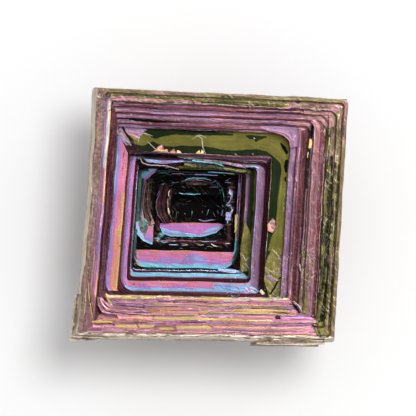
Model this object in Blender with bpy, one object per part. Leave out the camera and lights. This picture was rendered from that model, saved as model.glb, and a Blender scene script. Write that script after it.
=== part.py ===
"""A bismuth hopper crystal: one solid, +Z up, in metres, standing on its flat underside.

Seen from above it is a slightly skewed square. Its edges grew faster than its faces, so the top is a
deep stepped funnel, and the outside steps in from the wide rim to a small base where it broke off.
X runs to the right, Y to the back. The origin is the bottom centre of the crystal's box.
"""

import math

import bmesh
import bpy
from mathutils import Vector

MM = 0.001

# Driving dimensions, in millimetres.
HEIGHT = 17.0
WIDTH = 30.0
LENGTH = 29.0
CORNERS = {  # the rim's outermost corners: the two pairs of sides meet a few degrees off square
    "front_left": (-16.15, -14.43),
    "front_right": (14.42, -14.77),
    "back_right": (16.15, 13.72),
    "back_left": (-13.85, 15.0),
}
CORNER_SEGMENTS = 3
FUNNEL_DRIFT = 0.049  # how far the funnel shifts to the right and to the back for each unit of depth

# The funnel, from the rim inwards. Each ledge: depth below the rim, then the insets from the crystal's
# left, right, front and back sides to its root (where it meets the wall above) and to its lip (its
# inner edge), before the drift, and the radius at its corners.
LEDGES = (
    ("rim", 0.0, (0.55, 0.12, 0.62, 0.15), (1.5, 1.3, 1.35, 1.2), 0.4),
    ("outer_frame", 0.9, (1.7, 1.5, 1.5, 1.45), (2.2, 2.5, 2.7, 2.1), 0.4),
    ("middle_frame", 1.7, (2.4, 2.7, 2.9, 2.3), (2.8, 4.6, 3.8, 3.4), 0.4),
    ("inner_frame", 2.5, (2.9, 4.8, 4.0, 3.6), (3.1, 6.7, 4.9, 4.8), 0.5),
    ("broad_ledge", 3.6, (3.3, 6.9, 5.2, 5.0), (4.5, 8.7, 5.5, 7.3), 0.5),
    ("second_ledge", 5.4, (4.8, 9.6, 5.9, 8.0), (5.4, 10.4, 6.8, 8.6), 0.8),
    ("third_ledge", 6.9, (5.6, 10.5, 7.2, 8.8), (5.9, 11.1, 7.7, 9.2), 0.5),
    ("fourth_ledge", 7.8, (6.0, 11.2, 8.0, 9.3), (6.1, 11.6, 8.2, 9.5), 0.5),
    ("pit_ledge", 9.0, (6.2, 12.0, 8.4, 9.7), (6.4, 12.5, 10.2, 9.9), 1.0),
    ("pit_step", 11.4, (7.6, 13.2, 11.6, 10.7), (9.0, 13.9, 13.2, 11.1), 1.2),
    ("pit_floor", 14.0, (9.6, 14.3, 13.4, 11.3), None, 1.0),
)

# The outside, from the rim down: depth of each course's top and bottom, and its insets from the
# left, right, front and back sides. Each course stands back under the one above.
COURSES = (
    ("rim_wall", 0.9, 3.7, (0.0, 0.0, 0.0, 0.0), 0.3),
    ("second_course", 3.9, 6.3, (0.9, 1.2, 0.8, 1.0), 0.3),
    ("third_course", 6.5, 8.1, (1.9, 2.1, 1.7, 2.2), 0.3),
    ("fourth_course", 8.3, 10.8, (2.8, 3.3, 2.7, 3.0), 0.3),
    ("fifth_course", 11.0, 12.5, (4.0, 4.3, 3.8, 4.4), 0.3),
    ("sixth_course", 12.7, 14.6, (4.9, 5.6, 5.0, 5.5), 0.3),
    ("foot", 14.8, 17.0, (6.3, 6.9, 6.1, 6.8), 0.3),
)

# Small crystals grown into the outside: the insets from the left and the front to its near corner
# (negative where it stands out past the rim), its size in plan, and its depth range.
SIDE_GROWTHS = (
    ("left_growth", (-0.04, 0.45), (3.0, 4.8), (4.9, 8.9)),
    ("front_growth", (20.4, -0.24), (8.2, 4.0), (4.4, 7.4)),
    ("back_growth", (7.4, 25.2), (6.4, 3.4), (6.0, 10.0)),
    ("right_growth", (26.2, 8.2), (3.3, 7.6), (5.2, 8.0)),
)


def clear_scene():
    for old in list(bpy.data.objects):
        bpy.data.objects.remove(old)


def plan_point(across, along, depth):
    """The point `across` from the left side, `along` from the front and `depth` below the rim."""
    s, t = across / WIDTH, along / LENGTH
    front = Vector(CORNERS["front_left"]).lerp(Vector(CORNERS["front_right"]), s)
    back = Vector(CORNERS["back_left"]).lerp(Vector(CORNERS["back_right"]), s)
    x, y = front.lerp(back, t)
    return Vector((x, y, HEIGHT - depth)) * MM


def square_loop(bm, insets, depth, radius):
    """A closed row of points with round corners, by its insets from the crystal's four sides."""
    left, right, front, back = insets
    lowest, highest = (left + radius, front + radius), (WIDTH - right - radius, LENGTH - back - radius)
    centres = ((lowest[0], lowest[1]), (highest[0], lowest[1]), (highest[0], highest[1]), (lowest[0], highest[1]))
    points = []
    for corner, (x, y) in enumerate(centres):
        for step in range(CORNER_SEGMENTS + 1):
            angle = math.pi + math.pi / 2 * (corner + step / CORNER_SEGMENTS)
            points.append(plan_point(x + radius * math.cos(angle), y + radius * math.sin(angle), depth))
    return [bm.verts.new(point) for point in points]


def drifted(insets, depth):
    """The insets of a ledge at that depth, moved right and back with the funnel."""
    left, right, front, back = insets
    shift = FUNNEL_DRIFT * depth
    return left + shift, right - shift, front + shift, back - shift


def funnel_loops(bm):
    """The funnel's loops, from the pit's floor up to the rim."""
    loops = []
    for _, depth, root, lip, radius in reversed(LEDGES):
        for insets in (lip, root):
            if insets is not None:
                loops.append(square_loop(bm, drifted(insets, depth), depth, radius))
    return loops


def outside_loops(bm):
    """The outside's loops, from the rim down to the foot."""
    loops = []
    for _, top, bottom, insets, radius in COURSES:
        loops += [square_loop(bm, insets, depth, radius) for depth in (top, bottom)]
    return loops


def crystal_body(material):
    bm = bmesh.new()
    loops = funnel_loops(bm) + outside_loops(bm)
    for one, other in zip(loops, loops[1:]):
        for here in range(len(one)):
            bm.faces.new((one[here - 1], one[here], other[here], other[here - 1]))
    for end in (loops[0], loops[-1]):
        bm.faces.new(end)
    bmesh.ops.recalc_face_normals(bm, faces=bm.faces)
    mesh = bpy.data.meshes.new("bismuth_crystal")
    bm.to_mesh(mesh)
    bm.free()
    mesh.materials.append(material)
    body = bpy.data.objects.new("bismuth_crystal", mesh)
    bpy.context.scene.collection.objects.link(body)
    return body


def side_growth(name, near_corner, size, depths):
    """A block that the body takes in, with its sides along the crystal's own."""
    bm = bmesh.new()
    (x, y), (wide, long), (top, bottom) = near_corner, size, depths
    outline = ((x, y), (x + wide, y), (x + wide, y + long), (x, y + long))
    foot = bm.faces.new([bm.verts.new(plan_point(a, b, bottom)) for a, b in outline])
    raised = bmesh.ops.extrude_face_region(bm, geom=[foot])["geom"]
    bmesh.ops.translate(
        bm,
        vec=(0, 0, (bottom - top) * MM),
        verts=[part for part in raised if isinstance(part, bmesh.types.BMVert)],
    )
    bmesh.ops.recalc_face_normals(bm, faces=bm.faces)
    mesh = bpy.data.meshes.new(name)
    bm.to_mesh(mesh)
    bm.free()
    growth = bpy.data.objects.new(name, mesh)
    growth.hide_render = True
    growth.display_type = "WIRE"
    bpy.context.scene.collection.objects.link(growth)
    return growth


def join_growth(body, growth):
    union = body.modifiers.new(growth.name, "BOOLEAN")
    union.operation = "UNION"
    union.object = growth


def tarnished_bismuth():
    material = bpy.data.materials.new("tarnished_bismuth")
    material.use_nodes = True
    shader = material.node_tree.nodes["Principled BSDF"]
    shader.inputs["Base Color"].default_value = (0.50, 0.28, 0.36, 1.0)
    shader.inputs["Metallic"].default_value = 0.85
    shader.inputs["Roughness"].default_value = 0.32
    return material


def main():
    clear_scene()
    body = crystal_body(tarnished_bismuth())
    for name, near_corner, size, depths in SIDE_GROWTHS:
        join_growth(body, side_growth(name, near_corner, size, depths))


main()
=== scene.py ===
"""A bismuth hopper crystal on a pale floor, seen from above.

The crystal's skin is one closed mesh. It is drawn as rows of points that run round the crystal: from the
pit's floor up the funnel's ledges, over the worn rim, and down the stepped outside to the flat foot. Each
row carries the thickness of the oxide film there, and the finish turns that thickness into colour. Deep in
the pit the black is painted shade, and on the walls the maroon and black are partly painted shade.

Lengths are in millimetres unless a name says otherwise, and become metres where points are placed.
"""

import logging
import math
import random
from dataclasses import dataclass, field
from enum import Enum

import bmesh
import bpy
from mathutils import Matrix, Vector, noise

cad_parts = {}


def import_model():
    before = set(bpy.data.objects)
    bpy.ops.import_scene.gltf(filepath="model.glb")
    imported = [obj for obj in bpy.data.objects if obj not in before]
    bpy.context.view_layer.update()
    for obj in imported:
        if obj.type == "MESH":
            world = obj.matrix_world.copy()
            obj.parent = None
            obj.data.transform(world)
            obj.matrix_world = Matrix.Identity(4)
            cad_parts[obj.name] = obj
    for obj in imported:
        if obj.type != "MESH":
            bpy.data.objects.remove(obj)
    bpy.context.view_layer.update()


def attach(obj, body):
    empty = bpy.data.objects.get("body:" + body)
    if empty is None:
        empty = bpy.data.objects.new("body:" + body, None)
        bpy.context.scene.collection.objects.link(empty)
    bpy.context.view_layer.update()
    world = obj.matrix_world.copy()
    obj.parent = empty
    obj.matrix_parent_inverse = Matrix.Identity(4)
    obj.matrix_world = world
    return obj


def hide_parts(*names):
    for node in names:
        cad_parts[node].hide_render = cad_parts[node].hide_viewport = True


LOG = logging.getLogger("bismuth_crystal")
MM = 0.001
NODE = "bismuth_crystal"
SHARPEST_BLEND = 0.16  # films further apart than this on the ramp meet at a sharp line
NOISE_SEED = 7  # makes edges stray the same way in each run

Pair = tuple[float, float]
Triple = tuple[float, float, float]
Corners = tuple[float, float, float, float]
Line = tuple[Pair, ...]
Socket = bpy.types.NodeSocket


class Film(Enum):
    """How thick the oxide film is: (place on the ramp from bare metal to the thickest, display colour).

    MAROON and BLACK also paint shade, on dark walls and deep in the pit.
    """

    TAN = (0.00, (0.45, 0.38, 0.31))
    BARE = (0.055, (0.78, 0.73, 0.67))
    GOLD = (0.11, (0.83, 0.73, 0.42))
    SALMON = (0.165, (0.84, 0.56, 0.48))
    PINK = (0.22, (0.81, 0.49, 0.61))
    ORCHID = (0.28, (0.73, 0.47, 0.74))
    LAVENDER = (0.34, (0.56, 0.52, 0.74))
    SKY = (0.40, (0.55, 0.70, 0.86))
    CYAN = (0.46, (0.46, 0.78, 0.82))
    TEAL = (0.52, (0.22, 0.32, 0.31))
    LILAC = (0.58, (0.53, 0.40, 0.52))
    MAUVE = (0.64, (0.44, 0.30, 0.38))
    BLUSH = (0.67, (0.76, 0.55, 0.61))
    ROSE = (0.70, (0.56, 0.38, 0.40))
    CRIMSON = (0.76, (0.38, 0.16, 0.22))
    # MAROON on the walls is partly the film's own colour and partly painted shade of the riser
    MAROON = (0.82, (0.24, 0.11, 0.14))
    # BLACK is mostly painted shade: the deep pit, dark walls and shadowed notches
    BLACK = (0.88, (0.03, 0.02, 0.025))
    BOTTLE = (0.94, (0.11, 0.15, 0.08))
    OLIVE = (1.00, (0.41, 0.39, 0.18))

    @property
    def place(self) -> float:
        """Place of this film on the colour ramp, from 0 to 1."""
        return self.value[0]

    @property
    def colour(self) -> Triple:
        """The film's colour as it is displayed."""
        return self.value[1]


TAN, BARE, GOLD, SALMON, PINK, ORCHID, LAVENDER, SKY, CYAN = list(Film)[:9]
TEAL, LILAC, MAUVE, BLUSH, ROSE, CRIMSON, MAROON, BLACK, BOTTLE, OLIVE = list(Film)[9:]
PASSING = (SALMON, ORCHID, LAVENDER, BLUSH)  # films that only show between their neighbours
Films = tuple[Film, ...]


class Side(Enum):
    """The crystal's sides, in the order in which a row of points runs round it."""

    FRONT = 0
    RIGHT = 1
    BACK = 2
    LEFT = 3


def neighbours(films: Films, share: float) -> Triple:
    """Places on the ramp of the two films either side of a spot on an evenly spread list of films.

    Args:
        films: the films in order.
        share: where the spot is: 0 at the first film and 1 at the last.

    Returns:
        The two films' places, and the share of the way from the one to the other.
    """
    spot = min(max(share, 0.0), 1.0) * (len(films) - 1)
    low = int(spot)
    return films[low].place, films[min(low + 1, len(films) - 1)].place, spot - low


def film_pair(films: Films, near: float, far: float) -> Pair:
    """Films at the two edges of a narrow band, blended where neighbours are alike and cut sharp where not.

    Args:
        films: the films in order.
        near: share of the way along them at one edge of the band.
        far: the same at the other edge.

    Returns:
        The places on the colour ramp at the two edges.
    """
    edges = neighbours(films, near), neighbours(films, far)
    ends = tuple(low + (high - low) * between for low, high, between in edges)
    low, high, _ = neighbours(films, (near + far) / 2)
    if abs(ends[0] - ends[1]) <= SHARPEST_BLEND and abs(low - high) <= SHARPEST_BLEND:
        return ends
    middle = films[round((near + far) / 2 * (len(films) - 1))].place
    return middle, middle


def linear(colour: Triple) -> tuple[float, float, float, float]:
    """A display colour as the linear colour, with its alpha, that a shader's socket holds."""
    return (*(c / 12.92 if c <= 0.04045 else ((c + 0.055) / 1.055) ** 2.4 for c in colour), 1.0)


def deselect_all() -> None:
    """Leave nothing selected, so that the next operator acts on its own piece only."""
    for obj in bpy.context.selected_objects:
        obj.select_set(False)


def activate(obj: bpy.types.Object) -> None:
    """Select one object alone and make it the active one.

    Args:
        obj: the object to work on.
    """
    deselect_all()
    obj.select_set(True)
    bpy.context.view_layer.objects.active = obj


def join(made: list[bpy.types.Object], name: str) -> bpy.types.Object:
    """Join objects into one.

    Args:
        made: the objects.
        name: the name of the whole.

    Returns:
        The whole.
    """
    activate(made[0])
    for obj in made:
        obj.select_set(True)
    bpy.ops.object.join()
    whole = bpy.context.object
    whole.name = whole.data.name = name
    return whole


WEAR_NAMES = ("ragged", "grit", "lines", "scratches")
Amounts = tuple[float, float, float, float]


@dataclass(frozen=True)
class WearAndShade:
    """How a surface varies from place to place, each from 0 to 1: wear and dust, and lines of painted shade
    and highlight.
    """

    ragged: float = 0.3  # how far blotches and streaks shift the film
    grit: float = 0.0  # how dull and dusty the surface is
    lines: float = 0.0  # how strongly lines run along it: dark ones paint the shade of fine growth steps, pale ones paint highlights on their lips; also how high those steps stand
    scratches: float = 0.0  # how many pale scratches cross it

    @property
    def amounts(self) -> Amounts:
        """The four amounts in the order of WEAR_NAMES."""
        return self.ragged, self.grit, self.lines, self.scratches


CLEAR = WearAndShade(0.25)
BLOTCHED = WearAndShade(0.6)
CREAMY = WearAndShade(0.15, 0.2, 0.4, 0.1)
LAYERED = WearAndShade(0.12, 0.35, 0.7, 0.15)
STEADY = WearAndShade(0.15, 0.25, 0.4, 0.1)
TANNED = WearAndShade(0.1, 0.1, 0.4, 0.35)
SPECKLED = WearAndShade(0.8, 0.15, 0.6, 0.4)
LINED = WearAndShade(0.4, 0.12, 0.6, 0.12)
ROSY = WearAndShade(0.35, 0.1, 0.3, 0.12)
CHIPPED = WearAndShade(1.0, 0.4, 0.5, 0.4)
PINKISH = WearAndShade(0.3, 0.1, 0.35, 0.1)
DARK = WearAndShade(0.3, 0.0, 0.5, 0.1)


class FinishLayers:
    """What the corners of a mesh's faces store for the finish: the film, the wear and the skin map.

    Attributes:
        film: the layer for the film's place on the colour ramp.
        wears: the layers for the amounts of wear, in the order of WEAR_NAMES; the lines among them set
            painted shade and highlight.
        skin_map: the layer for the map that the streaks and the growth lines follow.
    """

    def __init__(self, bm: bmesh.types.BMesh) -> None:
        """Add the layers to a mesh."""
        floats = bm.loops.layers.float
        self.film = floats.new("film")
        self.wears = [floats.new(name) for name in WEAR_NAMES]
        self.skin_map = bm.loops.layers.uv.new("skin")

    def store(self, loop: bmesh.types.BMLoop, film: float, wear: Amounts, spot: Pair) -> None:
        """Store the finish of one corner of a face.

        Args:
            loop: the corner.
            film: the film's place on the colour ramp.
            wear: the amounts of wear.
            spot: the corner's place on the skin map.
        """
        loop[self.film] = film
        for layer, amount in zip(self.wears, wear):
            loop[layer] = amount
        loop[self.skin_map].uv = spot


@dataclass(frozen=True)
class Stretch:
    """A part of a side where the tread's films differ."""

    start: float  # where it begins, as a share of the side (from the left, or from the front)
    end: float  # where it ends
    films: Films  # the films from the root to the lip
    wall: Films = ()  # the films down the wall, where they differ too


@dataclass(frozen=True)
class Tread:
    """One ledge along one side."""

    root: float  # inset from the side to where the tread meets the wall above it
    lip: float  # inset to the tread's inner edge
    films: Films  # the films from the root to the lip, evenly spread
    wall: Films = (MAROON,)  # the films down the wall below the lip; the dark maroon is partly painted shade of the riser
    stretches: tuple[Stretch, ...] = ()  # parts of the side that have other films
    slant: float = 0.0  # how much further in the tread lies at the side's right or back end than at the other
    wear: WearAndShade | None = None  # how the tread varies, where it isn't as the whole ledge does

    def films_at(self, place: float, on_wall: bool) -> Films:
        """Films of the tread, or of the wall below it, at a place along the side.

        Args:
            place: share of the way along the side.
            on_wall: True for the wall and False for the tread.

        Returns:
            The films from the root to the lip, or down the wall.
        """
        for stretch in self.stretches:
            if stretch.start <= place <= stretch.end and (stretch.wall or not on_wall):
                return stretch.wall if on_wall else stretch.films
        return self.wall if on_wall else self.films


SQUARE: Corners = (0.3, 0.3, 0.3, 0.3)


@dataclass(frozen=True)
class Ledge:
    """A ledge that runs round all four sides at one depth."""

    name: str
    depth: float  # depth below the rim
    left: Tread  # the tread along the left side, and so on for the other three
    right: Tread
    front: Tread
    back: Tread
    # radius of the root at the front left, front right, back right and back left corners
    corners: Corners = SQUARE
    lip_corners: Corners | None = None  # the same for the lip, where it differs
    # films of a corner's own, by the corner's number, from the root to the lip
    corner_films: dict[int, Films] = field(default_factory=dict)
    rows: int = 5  # rows of points across the tread
    fine_steps: int = 2  # small steps in the wall below the lip
    wear: WearAndShade = CLEAR  # how the ledge varies from place to place

    def tread(self, side: Side) -> Tread:
        """The tread along one side."""
        return (self.front, self.right, self.back, self.left)[side.value]

    def radii(self, share: float) -> Corners:
        """The four corners' radii at a share of the way across the tread."""
        ends = self.lip_corners or self.corners
        return tuple(a + (b - a) * share for a, b in zip(self.corners, ends))


@dataclass(frozen=True)
class Band:
    """What lies between two neighbouring rows: which ledge, and how far across it each row is."""

    ledge: Ledge  # the ledge that the band belongs to
    wall: bool  # True for the wall below the ledge's lip, and False for its tread
    near: float  # share of the way across the tread, or down the wall, at the band's outer row
    far: float  # the same at its inner row


@dataclass
class Row:
    """One row of points round the crystal."""

    depth: float  # depth below the rim
    insets: Corners  # inset from the front, right, back and left sides
    slants: Corners  # how much further in each side's line lies at its far end
    radii: Corners  # radius at each corner
    band: Band | None  # what lies between this row and the one before it
    wear: WearAndShade = CLEAR  # how the row varies


@dataclass(frozen=True)
class SkewSquare:
    """The crystal's plan: a square a few degrees off true."""

    width: float = 30.0  # nominal length of the front and back sides
    length: float = 29.0  # nominal length of the left and right sides
    height: float = 17.0  # height of the rim above the foot
    front_left: Pair = (-16.15, -14.43)
    front_right: Pair = (14.42, -14.77)
    back_right: Pair = (16.15, 13.72)
    back_left: Pair = (-13.85, 15.0)
    left_bow: float = 0.35  # how far the middle of the rim's left side bends in
    bow_reach: float = 2.2  # how far from the left side the bend fades out
    stray: float = 0.10  # how far edges stray from straight
    stray_length: float = 3.2  # distance over which they stray
    stray_height: float = 0.5  # how far edges stray up and down, as a share of how far they do sideways
    roughness: float = 0.07  # height of the roughness of a worn surface
    rough_scales: Pair = (0.9, 3.7)  # how close its coarse bumps and its fine ones lie
    fine_share: float = 0.6  # height of the fine bumps, as a share of the coarse ones'
    funnel_drift: float = 0.049  # how far the funnel shifts to the right and back for each unit of depth
    funnel_spread: float = 0.0022  # how much the funnel widens for each unit of depth

    def down_funnel(self, across: float, along: float, depth: float) -> Pair:
        """Where a spot of the funnel comes to lie, as the funnel leans and widens on its way down."""
        shift, spread = self.funnel_drift * depth, self.funnel_spread * depth
        return (across + shift + (across - self.width / 2) * spread,
                along + shift + (along - self.length / 2) * spread)

    def flat(self, s: float, t: float) -> Pair:
        """A point of the plan, by the straight-line map that carries a square onto its four corners.

        Args:
            s: share of the way from the left to the right.
            t: share of the way from the front to the back.

        Returns:
            The point's x and y in millimetres.
        """
        start, right, far, back = (
            Vector(corner) for corner in (self.front_left, self.front_right, self.back_right, self.back_left)
        )
        one, other, rest = right - far, back - far, start - right + far - back
        scale = one.x * other.y - other.x * one.y
        g = (rest.x * other.y - other.x * rest.y) / scale
        h = (one.x * rest.y - rest.x * one.y) / scale
        spot = (start + (right * (1 + g) - start) * s + (back * (1 + h) - start) * t) / (1 + g * s + h * t)
        return spot.x, spot.y

    def place(self, across: float, along: float, depth: float, rough: float = 0.0) -> Vector:
        """A point of the crystal in metres.

        Args:
            across: distance from the left side.
            along: distance from the front side.
            depth: depth below the rim.
            rough: how rough the surface is there, from 0 to 1.

        Returns:
            The point in the crystal's frame.
        """
        spot = Vector((across, along, depth))
        drift = noise.noise_vector(spot / self.stray_length) * self.stray
        coarse = noise.noise_vector(spot * self.rough_scales[0]) * self.roughness * rough
        fine = noise.noise_vector(spot * self.rough_scales[1]) * self.roughness * self.fine_share * rough
        across += drift.x + coarse.x + fine.x
        along += drift.y + coarse.y + fine.y
        if depth < self.height:
            depth += drift.z * self.stray_height + coarse.z + fine.z
        depth = min(depth, self.height)
        share = along / self.length
        across += self.left_bow * 4 * share * (1 - share) * max(0.0, 1 - across / self.bow_reach)
        x, y = self.flat(across / self.width, along / self.length)
        return Vector((x, y, self.height - depth)) * MM


# Deep in the pit the black films are painted shade, and on the walls the maroon and black are partly painted
# shade.
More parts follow.
